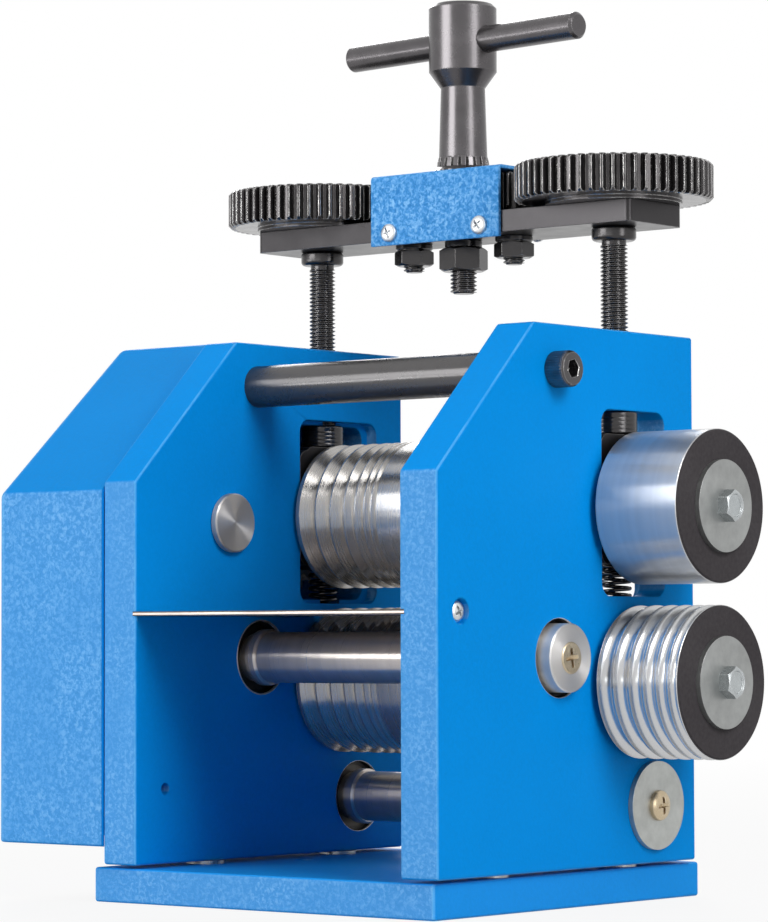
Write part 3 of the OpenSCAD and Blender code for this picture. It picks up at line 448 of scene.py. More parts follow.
def black_oxide(name, base, wear_and_highlight_share, rough, edge_mm=0.5, sheen=0.0, cloud_share=0.1):
    """Blackened steel, cloudy by cloud_share, whose outer edges are painted lighter by the share after base,
    partly rubbed bright and partly a painted highlight.
    """
    made = Shader(name)
    cloud = made.noise(120.0, 5.0, 0.6)
    grain = made.noise(1400.0, 2.0)
    darker, lighter = scaled(base, 1 - cloud_share), scaled(base, 1 + cloud_share)
    tint = made.mix(made.spread(cloud, 0.3, 0.7), darker, lighter)
    # Outer edges painted lighter, partly rubbed bright and partly a painted highlight.
    edge_wear_and_highlight = made.math("MULTIPLY", made.edge(edge_mm), wear_and_highlight_share)
    gaps = made.spread(made.noise(260.0, 3.0), 0.35, 0.6, 0.3, 1.0)
    made.colour(made.mix(made.math("MULTIPLY", edge_wear_and_highlight, gaps), tint, WORN_AND_HIGHLIGHT_STEEL))
    if sheen:
        made.turned_sheen(sheen)
    made.relief(grain, 0.02, 0.12, edge_mm)
    made.roughness(made.spread(cloud, 0.3, 0.7, rough - 0.03, rough + 0.04))
    made.set(Metallic=0.85)
    return made.material


def turned(name, base, rough, depth_mm, metal, black_from=None, sheen=0.9):
    """Steel turned about an axis along X, with fine rings. Beyond black_from along X it is black."""
    made = Shader(name)
    rings = made.noise(1.0, 2.0, 0.6, stretch=(2600.0, 4.0, 4.0))
    wide = made.noise(1.0, 2.0, 0.5, stretch=(300.0, 2.0, 2.0))
    tint = made.mix(made.spread(wide, 0.3, 0.7), scaled(base, 0.9), base)
    gloss = made.spread(rings, 0.3, 0.7, rough - 0.03, rough + 0.03)
    if black_from:
        end = made.spread(made.along("X"), (black_from - BLACK_FADE) * MM, black_from * MM)
        speck = made.spread(made.noise(700.0, 3.0), 0.3, 0.75)
        made.colour(made.mix(end, tint, made.mix(speck, END_DARK, END_LIGHT)))
        made.link(made.spread(end, 0.0, 1.0, metal, 0.0), made.surface.inputs["Metallic"])
        made.roughness(made.math("ADD", gloss, made.math("MULTIPLY", end, 0.5)))
        made.set(Specular_IOR_Level=0.15)
    else:
        made.colour(tint)
        made.roughness(gloss)
        made.set(Metallic=metal)
    made.turned_sheen(sheen)
    made.relief(rings, depth_mm, 0.12, 0.15)
    return made.material


def sheet(name, low, high):
    """A bright sheet between two heights in millimetres, with dark upper and lower edges."""
    made = Shader(name)
    up = made.along("Z")
    thick = high - low
    top = made.spread(up, *[(high - share * thick) * MM for share in SHEET_TOP_SHARES])
    foot = made.spread(up, *[(low + share * thick) * MM for share in SHEET_FOOT_SHARES], 1.0, 0.0)
    flat = made.math("ABSOLUTE", made.normal("True Normal", "Z"))
    level = made.spread(flat, 0.4, 0.6, 1.0, 0.0)
    dark = made.math("MULTIPLY", made.math("MAXIMUM", top, foot), level)
    cloud = made.spread(made.noise(160.0, 3.0), 0.3, 0.7)
    bright = made.mix(cloud, SHEET_DARK, SHEET_LIGHT)
    made.colour(made.mix(dark, bright, SHEET_EDGE))
    made.roughness(made.spread(made.noise(1.0, 3.0, stretch=(40.0, 900.0, 900.0)), 0.3, 0.7, 0.22, 0.36))
    made.relief(made.noise(900.0, 2.0), 0.01, 0.2)
    made.set(Metallic=0.6)
    return made.material


def plated(name, base, rough, wear_and_highlight_share=0.25, sheen=0.0):
    """Zinc plate, cloudy, with fine scratches and outer edges painted lighter, partly rubbed bright and
    partly a painted highlight. With sheen it is a washer whose rim is painted bright instead, a painted
    highlight.
    """
    made = Shader(name)
    cloud = made.noise(210.0, 4.0, 0.6)
    scratch = made.noise(1.0, 4.0, 0.7, stretch=(350.0, 2600.0, 350.0))
    tint = made.mix(made.spread(cloud, 0.3, 0.7), scaled(base, 0.82), base)
    if sheen:
        made.turned_sheen(sheen)
        # Painted highlight: the rounding of the washer's rim is bright.
        made.colour(made.mix(made.round_edge(), tint, RIM_HIGHLIGHT_ZINC))
    else:
        # Outer edges painted lighter, partly rubbed bright and partly a painted highlight.
        made.colour(made.mix(made.math("MULTIPLY", made.edge(0.5), wear_and_highlight_share), tint, WORN_AND_HIGHLIGHT_ZINC))
    made.roughness(made.spread(scratch, 0.3, 0.7, rough - 0.06, rough + 0.1))
    made.relief(scratch, 0.01, 0.3, 0.3)
    made.set(Metallic=0.92)
    return made.material


def bore(node, radius):
    """A bare hole about the node's axis."""
    _, y, z = middle(*mm_box(node))
    return y, z, radius


# Colours, linear
DEEP_BLUE = (0.0005, 0.245, 0.69)
# Lighter blue of the hammered coat, which the plates' front faces also get as painted light
HAMMERED_AND_FRONT_LIT_BLUE = (0.068, 0.308, 0.705)
# Lighter flecks, partly painted highlights on the peel's bumps
FLECK_AND_HIGHLIGHT_BLUE = (0.24, 0.53, 0.88)
# Painted highlight on the rounded edges of the coat
EDGE_HIGHLIGHT_BLUE = (0.2, 0.55, 0.9)
# Painted shade in the peel's dents
DENT_SHADE_BLUE = (0.012, 0.16, 0.45)
BASE_BLUE = (0.012, 0.275, 0.75)
COVER_BLUE = (0.003, 0.23, 0.64)
WALL_GREY = (0.05, 0.048, 0.046)
# Painted highlight on the bore walls close to the faces
RIM_HIGHLIGHT_GREY = (0.88, 0.86, 0.83)
# Edges of blackened steel: rubbed bright, with a painted highlight
WORN_AND_HIGHLIGHT_STEEL = (0.66, 0.65, 0.64)
# Edges of zinc: rubbed bright, with a painted highlight
WORN_AND_HIGHLIGHT_ZINC = (0.85, 0.85, 0.85)
# Painted highlight on the rounded rim of the washers
RIM_HIGHLIGHT_ZINC = (0.8, 0.8, 0.78)
END_DARK = (0.038, 0.034, 0.037)
END_LIGHT = (0.052, 0.047, 0.05)
SHEET_DARK = (0.36, 0.31, 0.28)
SHEET_LIGHT = (0.44, 0.38, 0.35)
SHEET_EDGE = (0.02, 0.017, 0.015)
PEEL_SCALE = 760.0

# Places that the paint and the blackened ends follow
BORES = (bore("lower_side_washer", ROLL_BORE_R), bore("layshaft_cap", LAYSHAFT_BORE_R),
         bore("crank_washer", CRANK_BORE_R))
PLATE_FACES = (mm_box("side_plate_left")[1][0], mm_box("side_plate_right")[1][0])
BLACK_FROM = mm_box("upper_side_roll")[1][0] - BLACK_END_W
SHEET_LOW = mm_box("guide_sheet")[0][2]
SHEET_HIGH = mm_box("guide_sheet")[1][2]

plate_blue = paint("powder_coat", DEEP_BLUE, 0.0, 0.5, 0.12, 0.25, BORES, PLATE_FACES)
base_blue = paint("powder_coat_base", BASE_BLUE, 0.0, 0.5, 0.12, 0.25)
cover_blue = paint("powder_coat_cover", COVER_BLUE, 0.0, 0.6, 0.25, 0.3)
hammered_blue = paint("hammered_coat", HAMMERED_AND_FRONT_LIT_BLUE, 1.0, 1.0, 0.6, 0.5)
dark_steel = black_oxide("black_oxide", (0.04, 0.038, 0.04), 0.4, 0.3)
handle_black = black_oxide("black_oxide_handle", (0.106, 0.1, 0.104), 0.3, 0.26)
# Near-black copy of blackened steel: painted shade between the pinion's teeth
gap_shade_black = black_oxide("black_oxide_gap_shade", (0.02, 0.019, 0.019), 0.0, 0.4)
rod_black = black_oxide("black_oxide_rod", (0.11, 0.107, 0.108), 0.1, 0.28, sheen=0.9, cloud_share=0.04)
gear_black = black_oxide("black_oxide_gear", (0.06, 0.057, 0.058), 1.0, 0.18, edge_mm=0.6)
screw_black = black_oxide("black_oxide_screw", (0.055, 0.053, 0.054), 0.6, 0.2, edge_mm=0.25)
block_black = black_oxide("black_oxide_block", (0.025, 0.023, 0.024), 0.2, 0.4)
socket_black = black_oxide("black_oxide_socket", (0.085, 0.082, 0.085), 1.0, 0.16)
roll_steel = turned("turned_roll", (0.51, 0.492, 0.468), 0.26, 0.006, metal=0.85)
side_steel = turned("brushed_roll", (0.6, 0.605, 0.61), 0.32, 0.004, 0.9, BLACK_FROM)
groove_steel = turned("polished_roll", (0.62, 0.625, 0.63), 0.22, 0.004, 0.9, BLACK_FROM, sheen=0.8)
shaft_steel = turned("turned_shaft", (0.63, 0.575, 0.53), 0.3, 0.003, metal=0.85)
stub_steel = turned("turned_stub", (0.56, 0.53, 0.5), 0.4, 0.006, metal=0.8)
cap_steel = turned("turned_cap", (0.66, 0.64, 0.62), 0.4, 0.006, metal=0.8)
machined = turned("machined_gear", (0.42, 0.42, 0.42), 0.4, 0.01, metal=0.8)
# Dark bushes in the bores
bush_black = turned("dark_bush", (0.06, 0.055, 0.05), 0.35, 0.01, metal=0.8)
sheet_steel = sheet("guide_sheet_steel", SHEET_LOW, SHEET_HIGH)
zinc = plated("zinc", (0.38, 0.4, 0.4), 0.3)
washer_zinc = plated("washer_zinc", (0.35, 0.36, 0.355), 0.34, sheen=0.6)
crank_zinc = plated("crank_zinc", (0.46, 0.475, 0.46), 0.36, sheen=0.6)
white_zinc = plated("white_zinc", (0.72, 0.74, 0.76), 0.3)
bolt_zinc = plated("bolt_zinc", (0.46, 0.49, 0.5), 0.24, wear_and_highlight_share=0.6)
yellow_zinc = plated("yellow_zinc", (0.6, 0.49, 0.33), 0.3)
bronze = plated("sintered_bronze", (0.4, 0.25, 0.12), 0.45)

FINISHES = {
    plate_blue: ("side_plate_left", "side_plate_right"),
    base_blue: ("base_plate",),
    cover_blue: ("gear_cover",),
    hammered_blue: ("pinion_cover",),
    dark_steel: ("bridge_bar", "foot_screws"),
    handle_black: ("handle_spindle", "handle_bar"),
    rod_black: ("tie_rod",),
    screw_black: ("tie_rod_screws", "idler_studs", "idler_nuts", "handle_nut", "adjust_nut_left",
                  "adjust_nut_right", "adjust_screw_left", "adjust_screw_right",
                  "lift_spring_left", "lift_spring_right"),
    gear_black: ("adjust_gear_left", "adjust_gear_right", "small_idler_left", "small_idler_right"),
    block_black: ("bearing_block_left", "bearing_block_right"),
    roll_steel: ("lower_roll", "upper_roll"),
    side_steel: ("upper_side_roll",),
    groove_steel: ("lower_side_roll",),
    shaft_steel: ("layshaft", "crank_shaft"),
    cap_steel: ("layshaft_cap",),
    stub_steel: ("idler_stub",),
    machined: ("lower_roll_gear", "upper_roll_gear", "layshaft_gear", "layshaft_pinion",
               "crank_pinion", "idler_gear", "lower_roll_keys", "upper_roll_keys",
               "cover_posts", "idler_retainers"),
    bush_black: ("plate_bushes", "block_bushes"),
    sheet_steel: ("guide_sheet",),
    zinc: ("lower_end_bolt", "upper_end_bolt", "foot_washers"),
    washer_zinc: ("lower_side_washer", "upper_side_washer"),
    crank_zinc: ("crank_washer",),
    white_zinc: ("guide_screws", "pinion_cover_screws", "cover_screws"),
    yellow_zinc: ("layshaft_screw", "crank_screw"),
    bronze: ("idler_bush", "thrust_rings"),
}


def dress_nodes():
    for material, names in FINISHES.items():
        for name in names:
            mesh = nodes[name].data
            mesh.materials.clear()
            mesh.materials.append(material)


# Mesh making, in millimetres

def make(name, points, faces, material, angle=35):
    mesh = bpy.data.meshes.new(name)
    mesh.from_pydata([Vector(p) * MM for p in points], [], faces)
    mesh.materials.append(material)
    mesh.validate()
    body = bmesh.new()
    body.from_mesh(mesh)
    weld(body)
    bmesh.ops.recalc_face_normals(body, faces=body.faces)
    body.to_mesh(mesh)
    body.free()
    smooth(mesh, angle)
    return put(name, mesh)


def put(name, data):
    """A new object of the scene with that mesh or lamp."""
    made = bpy.data.objects.new(name, data)
    bpy.context.scene.collection.objects.link(made)
    return made


def weld(body):
    """Merges the points that lie on each other."""
    bmesh.ops.remove_doubles(body, verts=body.verts, dist=MERGE_GAP * MM)


def copied(node, name):
    """A copy of a node's mesh under a new name, and a body of it to edit."""
    mesh = nodes[node].data.copy()
    mesh.name = name
    body = bmesh.new()
    body.from_mesh(mesh)
    return mesh, body


def recast(name, mesh, body, material):
    """Puts the edited body into a copied mesh, with one material, as a new object."""
    body.to_mesh(mesh)
    body.free()
    mesh.materials.clear()
    mesh.materials.append(material)
    return put(name, mesh)


def smooth(mesh, angle):
    mesh.shade_smooth()
    mesh.set_sharp_from_angle(angle=math.radians(angle))


def ring_faces(segments, rows):
    """The faces between columns of points that go once around an axis."""
    return [(i * rows + k, (i + 1) % segments * rows + k, (i + 1) % segments * rows + k + 1, i * rows + k + 1)
            for i in range(segments) for k in range(rows - 1)]


def lathe(profile, segments=64):
    """Points and faces of an outline of (radius, height) pairs turned about Z."""
    points = [(r * math.cos(2 * math.pi * i / segments), r * math.sin(2 * math.pi * i / segments), z)
              for i in range(segments) for r, z in profile]
    return points, ring_faces(segments, len(profile))


def prism_faces(n):
    """The faces of a closed prism whose two ends have n points each."""
    sides = [(i, (i + 1) % n, n + (i + 1) % n, n + i) for i in range(n)]
    return [tuple(range(n)), tuple(range(n, 2 * n))] + sides


def thread(low, high, d, pitch, depth, segments=THREAD_SIDES):
    """A screw thread of flat crests and roots, cut off square at both ends."""
    rise_shares = (0.0, 0.2, 0.5, 0.7)
    radii = (d / 2 - depth, d / 2 - depth, d / 2, d / 2)
    per_turn = len(rise_shares)
    rows = int((high - low) / pitch + 3) * per_turn
    points = []
    for k in range(rows):
        base = low - pitch + pitch * (k // per_turn + rise_shares[k % per_turn])
        for i in range(segments):
            a = 2 * math.pi * i / segments
            z = min(max(base + pitch * i / segments, low), high)
            r = radii[k % per_turn]
            points.append((r * math.cos(a), r * math.sin(a), z))
    faces = []
    for k in range(rows - per_turn):
        for i in range(segments):
            j = (i + 1) % segments
            up = k if j else k + per_turn
            if up + 1 < rows:
                faces.append((k * segments + i, up * segments + j, (up + 1) * segments + j,
                              (k + 1) * segments + i))
    return points, faces


def together(*shapes):
    points, faces = [], []
    for shape_points, shape_faces in shapes:
        start = len(points)
        points += shape_points
        faces += [tuple(start + i for i in face) for face in shape_faces]
    return points, faces


def moved(shape, x=0.0, y=0.0, z=0.0):
    return [(p[0] + x, p[1] + y, p[2] + z) for p in shape[0]], shape[1]


def stand_in(name, body, *replaced):
    """Puts a new piece on its body, in place of the nodes that it replaces."""
    made = bpy.data.objects[name]
    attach(made, body)
    if replaced:
        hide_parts(*replaced)


# Painted pieces with rounded outer edges

def on_hull(body):
    """The faces of a mesh that have all of it on one side."""
    corners = body.verts[:]
    outer = set()
    for face in body.faces:
        reach = face.normal.dot(face.verts[0].co)
        if all(face.normal.dot(v.co) <= reach + HULL_SLACK * MM for v in corners):
            outer.add(face)
    return outer


def rounded(node, material, square=(0, 0, 0), square_from_y=-math.inf):
    """A copy of a node with its outer edges rounded, in the node's place.

    The edges of the face that looks along square stay as they are behind square_from_y.
    """
    keep = Vector(square)
    name = node + "_rounded"
    mesh, body = copied(node, name)
    weld(body)
    bmesh.ops.dissolve_limit(body, angle_limit=math.radians(0.1), verts=body.verts, edges=body.edges)
    body.normal_update()
    outer = on_hull(body)
    corner = math.radians(20)
    sharp = [e for e in body.edges if len(e.link_faces) == 2 and all(f in outer for f in e.link_faces)
             and e.calc_face_angle() > corner
             and not (any(f.normal.dot(keep) > 0.99 for f in e.link_faces)
                      and min(v.co.y for v in e.verts) > square_from_y * MM)]
    bmesh.ops.bevel(body, geom=sharp, offset=PLATE_EDGE_R * MM, offset_type="OFFSET", segments=4,
                    profile=0.5, affect="EDGES", clamp_overlap=True)
    made = recast(name, mesh, body, material)
    smooth(mesh, 35)
    normals = made.modifiers.new("normals", "WEIGHTED_NORMAL")
    normals.keep_sharp = True
    stand_in(name, "frame", node)


# Adjusting screws with their threads

def adjust_screw(side):
    name = "adjust_screw_" + side
    low, high = mm_box(name)
    bar_low = mm_box("bridge_bar")[0][2]
    foot_top = low[2] + FOOT_H
    x, y, _ = middle(low, high)
    foot_r = (high[0] - low[0]) / 2
    round_x = foot_r - COLLAR_ROUND_R
    round_z = bar_low - COLLAR_H + COLLAR_ROUND_R
    collar = [(ROOT_R, bar_low - NECK_LOW_DROP), (NECK_R, bar_low - NECK_DROP),
              (NECK_R, bar_low - NECK_TOP_DROP)]
    collar += [(round_x + COLLAR_ROUND_R * math.sin(math.radians(a)),
                round_z - COLLAR_ROUND_R * math.cos(math.radians(a))) for a in range(0, 91, 15)]
    collar += [(foot_r, bar_low - COLLAR_TOP_DROP), (foot_r - COLLAR_CHAMFER, bar_low - BAR_PLAY),
               (THREAD_D / 2, bar_low - BAR_PLAY), (THREAD_D / 2, high[2] - SCREW_END_CHAMFER),
               (THREAD_D / 2 - SCREW_END_CHAMFER, high[2]), (0.0, high[2])]
    foot = [(0.0, low[2]), (foot_r - FOOT_CHAMFER, low[2]), (foot_r, low[2] + FOOT_CHAMFER)]
    for i in range(FOOT_LINES):
        z = low[2] + FOOT_LINE_START + i * FOOT_LINE_PITCH
        foot += [(foot_r, z), (foot_r - FOOT_LINE_DEPTH, z + FOOT_LINE_STEP),
                 (foot_r - FOOT_LINE_DEPTH, z + 2 * FOOT_LINE_STEP), (foot_r, z + 3 * FOOT_LINE_STEP)]
    foot += [(foot_r, foot_top - FOOT_TOP_CHAMFER), (foot_r - FOOT_TOP_CHAMFER, foot_top), (ROOT_R, foot_top)]
    screw = thread(foot_top - THREAD_OVERLAP, bar_low - THREAD_TOP_DROP, THREAD_D, THREAD_PITCH,
                   THREAD_DEPTH)
    shape = moved(together(lathe(foot), screw, lathe(collar)), x, y)
    make("screw_" + side, *shape, screw_black)
    stand_in("screw_" + side, side + "_screw", name)


def cut_below(node, name, height, radius, x, y, material):
    """A copy of a node without what lies below a height and within a radius of an axis."""
    mesh, body = copied(node, name)
    everything = body.verts[:] + body.edges[:] + body.faces[:]
    bmesh.ops.bisect_plane(body, geom=everything, plane_co=(0, 0, height * MM), plane_no=(0, 0, 1))
    axis = Vector((x * MM, y * MM, 0))
    gone = [f for f in body.faces if f.calc_center_median().z < height * MM
            and (f.calc_center_median().xy - axis.xy).length < radius * MM]
    bmesh.ops.delete(body, geom=gone, context="FACES")
    return recast(name, mesh, body, material)


def join(name, *pieces):
    """One object of several that share a place, keeping their materials."""
    with bpy.context.temp_override(active_object=pieces[0], selected_editable_objects=list(pieces)):
        bpy.ops.object.join()
    pieces[0].name = name


def threaded_end(low, start, d, pitch, depth):
    """A thread from start down to low, closed by a chamfered end."""
    root = d / 2 - depth
    end = [(0.0, low), (root - TIP_INSET, low), (root, low + TIP_CHAMFER_H), (root, low + TIP_TOP)]
    return together(lathe(end, THREAD_SIDES), thread(low + TIP_THREAD_LOW, start, d, pitch, depth))


def handle():
    """The spindle with a thread below its nut."""
    low = mm_box("handle_spindle")[0]
    nut_low, nut_high = mm_box("handle_nut")
    y = middle(nut_low, nut_high)[1]
    cut = nut_low[2] + SPINDLE_CUT_RISE
    end = threaded_end(low[2], cut, THREAD_D, THREAD_PITCH, THREAD_DEPTH)
    upper = cut_below("handle_spindle", "spindle_upper", cut, SPINDLE_CUT_R, 0.0, y, handle_black)
    join("spindle", upper, make("spindle_thread", *moved(end, 0.0, y), screw_black))
    stand_in("spindle", "handle", "handle_spindle")


def studs():
    """The idlers' studs with threads below their nuts."""
    low, high = mm_box("idler_studs")
    y = middle(low, high)[1]
    cut = mm_box("idler_nuts")[0][2] + STUDS_CUT_RISE
    reach = (high[0] - low[0]) / 2 - STUD_COLLAR_R
    end = threaded_end(low[2], cut, STUD_D, STUD_THREAD_PITCH, STUD_THREAD_DEPTH)
    tips = [make("stud_tip_" + str(i), *moved(end, x, y), screw_black) for i, x in enumerate((-reach, reach))]
    join("studs", cut_below("idler_studs", "studs_upper", cut, STUDS_CUT_R, 0.0, y, screw_black), *tips)
    stand_in("studs", "bridge", "idler_studs")


# Pinion cover

def pinion_cover():
    """The cover with a rear wall that ends just above the bar's lower face."""
    low, high = mm_box("pinion_cover")
    height = (mm_box("bridge_bar")[0][2] + COVER_PAST_BAR) * MM
    half_y = middle(low, high)[1] * MM
    mesh, body = copied("pinion_cover", "pinion_cover_shell")
    weld(body)
    rear = [f for f in body.faces if f.calc_center_median().y > half_y]
    parts = {v for f in rear for v in f.verts} | {e for f in rear for e in f.edges} | set(rear)
    bmesh.ops.bisect_plane(body, geom=list(parts), plane_co=(0, 0, height), plane_no=(0, 0, 1))
    gone = [f for f in body.faces
            if f.calc_center_median().z < height and f.calc_center_median().y > half_y]
    bmesh.ops.delete(body, geom=gone, context="FACES")
    bmesh.ops.holes_fill(body, edges=[e for e in body.edges if e.is_boundary])
    recast(mesh.name, mesh, body, hammered_blue)
    smooth(mesh, 30)
    stand_in("pinion_cover_shell", "bridge", "pinion_cover")


# Springs

def spring(side):
    node = "lift_spring_" + side
    low, high = mm_box(node)
    x, y, _ = middle(low, high)
    bottom, top = low[2] + SPRING_WIRE_D / 2, high[2] - SPRING_WIRE_D / 2
    per_turn, sides = 28, 10
    count = SPRING_TURNS * per_turn
    points = []
    for i in range(count + 1):
        a = 2 * math.pi * i / per_turn
        z = bottom + (top - bottom) * i / count
        for k in range(sides):
            b = 2 * math.pi * k / sides
            r = SPRING_MEAN_D / 2 + SPRING_WIRE_D / 2 * math.cos(b)
            points.append((x + r * math.cos(a), y + r * math.sin(a), z + SPRING_WIRE_D / 2 * math.sin(b)))
    faces = [(i * sides + k, i * sides + (k + 1) % sides, (i + 1) * sides + (k + 1) % sides,
              (i + 1) * sides + k) for i in range(count) for k in range(sides)]
    faces.append(tuple(range(sides)))
    faces.append(tuple(count * sides + k for k in reversed(range(sides))))
    name = "spring_" + side
    made = make(name, points, faces, screw_black, 60)
    stand_in(name, "frame", node)
    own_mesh(made)


# Cross-head screws

def cross_outline(reach, width, z):
    """The twelve corners of a cross with arms of the given half length and half width."""
    corners = []
    for turn in range(4):
        c, s = math.cos(math.pi / 2 * turn), math.sin(math.pi / 2 * turn)
        corners += [(u * c - v * s, u * s + v * c, z)
                    for u, v in ((width, -width), (reach, -width), (reach, width))]
    return corners


def cross_cutter(d, height):
    """A tapered cross that stands a little above a head of that diameter and height."""
    points = cross_outline(*scaled(CROSS_TOP_SHARES, d), height + HEAD_OVER)
    points += cross_outline(*scaled(CROSS_FLOOR_SHARES, d), height * CROSS_FLOOR_H_SHARE)
    return points, prism_faces(12)


def cross_head(name, d, height, material, domed=True):
    r = d / 2
    if domed:
        foot = DOME_FOOT_SHARE
        profile = [(0.0, height)]
        profile += [(r * math.sin(math.radians(a)) ** DOME_BEND,
                     height * (foot + (1 - foot) * math.cos(math.radians(a)) ** DOME_BEND))
                    for a in range(15, 90, 15)]
        profile += [(r, height * foot), (r, 0.0), (0.0, 0.0)]
    else:
        profile = [(0.0, height), (r - FLAT_HEAD_CHAMFER, height), (r, height - FLAT_HEAD_CHAMFER),
                   (r, 0.0), (0.0, 0.0)]
    return carve(make(name, *lathe(profile, 48), material),
                 make(name + "_cutter", *cross_cutter(d, height), material))


def carve(piece, cutter):
    """Takes the cutter out of the piece and removes it."""
    cut = piece.modifiers.new("recess", "BOOLEAN")
    cut.operation = "DIFFERENCE"
    cut.solver = "EXACT"
    cut.object = cutter
    bpy.context.view_layer.update()
    done = bpy.data.meshes.new_from_object(piece.evaluated_get(bpy.context.evaluated_depsgraph_get()))
    piece.modifiers.clear()
    piece.data = done
    bpy.data.objects.remove(cutter)
    smooth(done, 30)
    return piece


def place(piece, centre_mm, outward, spin):
    """Turns a piece that stands along Z to an outward direction, at a point in millimetres."""
    turn = Vector(outward).to_track_quat("Z", "Y").to_matrix().to_4x4()
    spun = Matrix.Rotation(math.radians(spin), 4, "Z")
    piece.data.transform(Matrix.Translation(Vector(centre_mm) * MM) @ turn @ spun)
    return piece


def islands(node):
    """The lowest and highest corners of each separate piece of a node, in millimetres."""
    body = bmesh.new()
    body.from_mesh(nodes[node].data)
    weld(body)
    left = set(body.verts)
    boxes = []
    while left:
        found = {left.pop()}
        edge = list(found)
        while edge:
            near = {e.other_vert(v) for v in edge for e in v.link_edges} & left
            left -= near
            found |= near
            edge = list(near)
        boxes.append(([min(v.co[k] for v in found) / MM for k in range(3)],
                      [max(v.co[k] for v in found) / MM for k in range(3)]))
    body.free()
    return sorted(boxes)


def knurled_head(name, r):
    """A socket head that stands on Z = 0, with ridges around it and a hexagon recess."""
    h = SOCKET_HEAD_H
    neck = r - SOCKET_NECK_INSET
    rows = ((0.0, 0.0), (r - SOCKET_CHAMFER, 0.0), (r, SOCKET_CHAMFER), (r, h - SOCKET_RIDGE_TOP_DROP),
            (neck, h - SOCKET_NECK_LOW_DROP), (neck, h - SOCKET_NECK_TOP_DROP),
            (r - SOCKET_TOP_INSET, h), (0.0, h))
    ridged = (2, 3)
    per_ridge = 4
    count = per_ridge * SOCKET_RIDGES
    points = []
    for i in range(count):
        a = 2 * math.pi * i / count
        dent = SOCKET_RIDGE_DEPTH if i % per_ridge >= per_ridge / 2 else 0.0
        for k, (radius, level) in enumerate(rows):
            inner = radius - dent if k in ridged else radius
            points.append((inner * math.cos(a), inner * math.sin(a), level))
    hexagon = [(SOCKET_HEX_R * math.cos(math.pi / 3 * i), SOCKET_HEX_R * math.sin(math.pi / 3 * i), level)
               for level in (h - SOCKET_DEPTH, h + SOCKET_HEX_OVER) for i in range(6)]
    return carve(make(name, points, ring_faces(count, len(rows)), socket_black),
                 make(name + "_cutter", hexagon, prism_faces(6), screw_black))


def socket_screws():
    """The tie rod's socket head screws."""
    low, high = mm_box("tie_rod_screws")
    _, y, z = middle(low, high)
    heads = [place(knurled_head("socket_head_" + side, (high[1] - low[1]) / 2),
                   (way * (high[0] - SOCKET_HEAD_H), y, z), (way, 0, 0), SOCKET_TURN)
             for side, way in (("left", -1), ("right", 1))]
    join("socket_heads", *heads)
    stand_in("socket_heads", "frame", "tie_rod_screws")


def crowned_nut(name, across, height, material, segments=96):
    """A hexagon nut from 0 up to a height, with both ends crowned and no bore."""
    crown = across / 2 * NUT_CROWN_SHARE
    points = []
    for i in range(segments):
        a = 2 * math.pi * i / segments
        side = across / 2 / math.cos(a % (math.pi / 3) - math.pi / 6)
        slope = (side - crown) * CHAMFER_SLOPE
        rows = ((0.0, 0.0), (crown, 0.0), (side, slope), (side, height - slope), (crown, height),
                (0.0, height))
        points += [(r * math.cos(a), r * math.sin(a), z) for r, z in rows]
    return make(name, points, ring_faces(segments, len(rows)), material, 25)


def nut_with_washer(name, low, high, across, height, turn):
    """A nut under its washer, in the box between the two corners."""
    x, y, _ = middle(low, high)
    r, thick = NUT_WASHER_D / 2, high[2] - low[2] - height
    disc = [(0.0, 0.0), (r - WASHER_CHAMFER, 0.0), (r, WASHER_CHAMFER), (r, thick - WASHER_TOP_CHAMFER),
            (r - WASHER_TOP_CHAMFER, thick), (0.0, thick)]
    washer = make(name + "_washer", *moved(lathe(disc), x, y, low[2] + height), screw_black)
    nut = crowned_nut(name, across, height, screw_black)
    spun = Matrix.Rotation(math.radians(turn), 4, "Z")
    nut.data.transform(Matrix.Translation(Vector((x, y, low[2])) * MM) @ spun)
    return [nut, washer]


def nuts():
    pieces = []
    for i, (low, high) in enumerate(islands("idler_nuts")):
        pieces += nut_with_washer("stud_nut_" + str(i), low, high, STUD_NUT_ACROSS, STUD_NUT_H,
                                  STUD_NUT_TURN)
    join("stud_nuts", *pieces)
    stand_in("stud_nuts", "bridge", "idler_nuts")
    join("big_nut", *nut_with_washer("handle_nut_crowned", *mm_box("handle_nut"), BIG_NUT_ACROSS, BIG_NUT_H,
                                     BIG_NUT_TURN))
    stand_in("big_nut", "handle", "handle_nut")


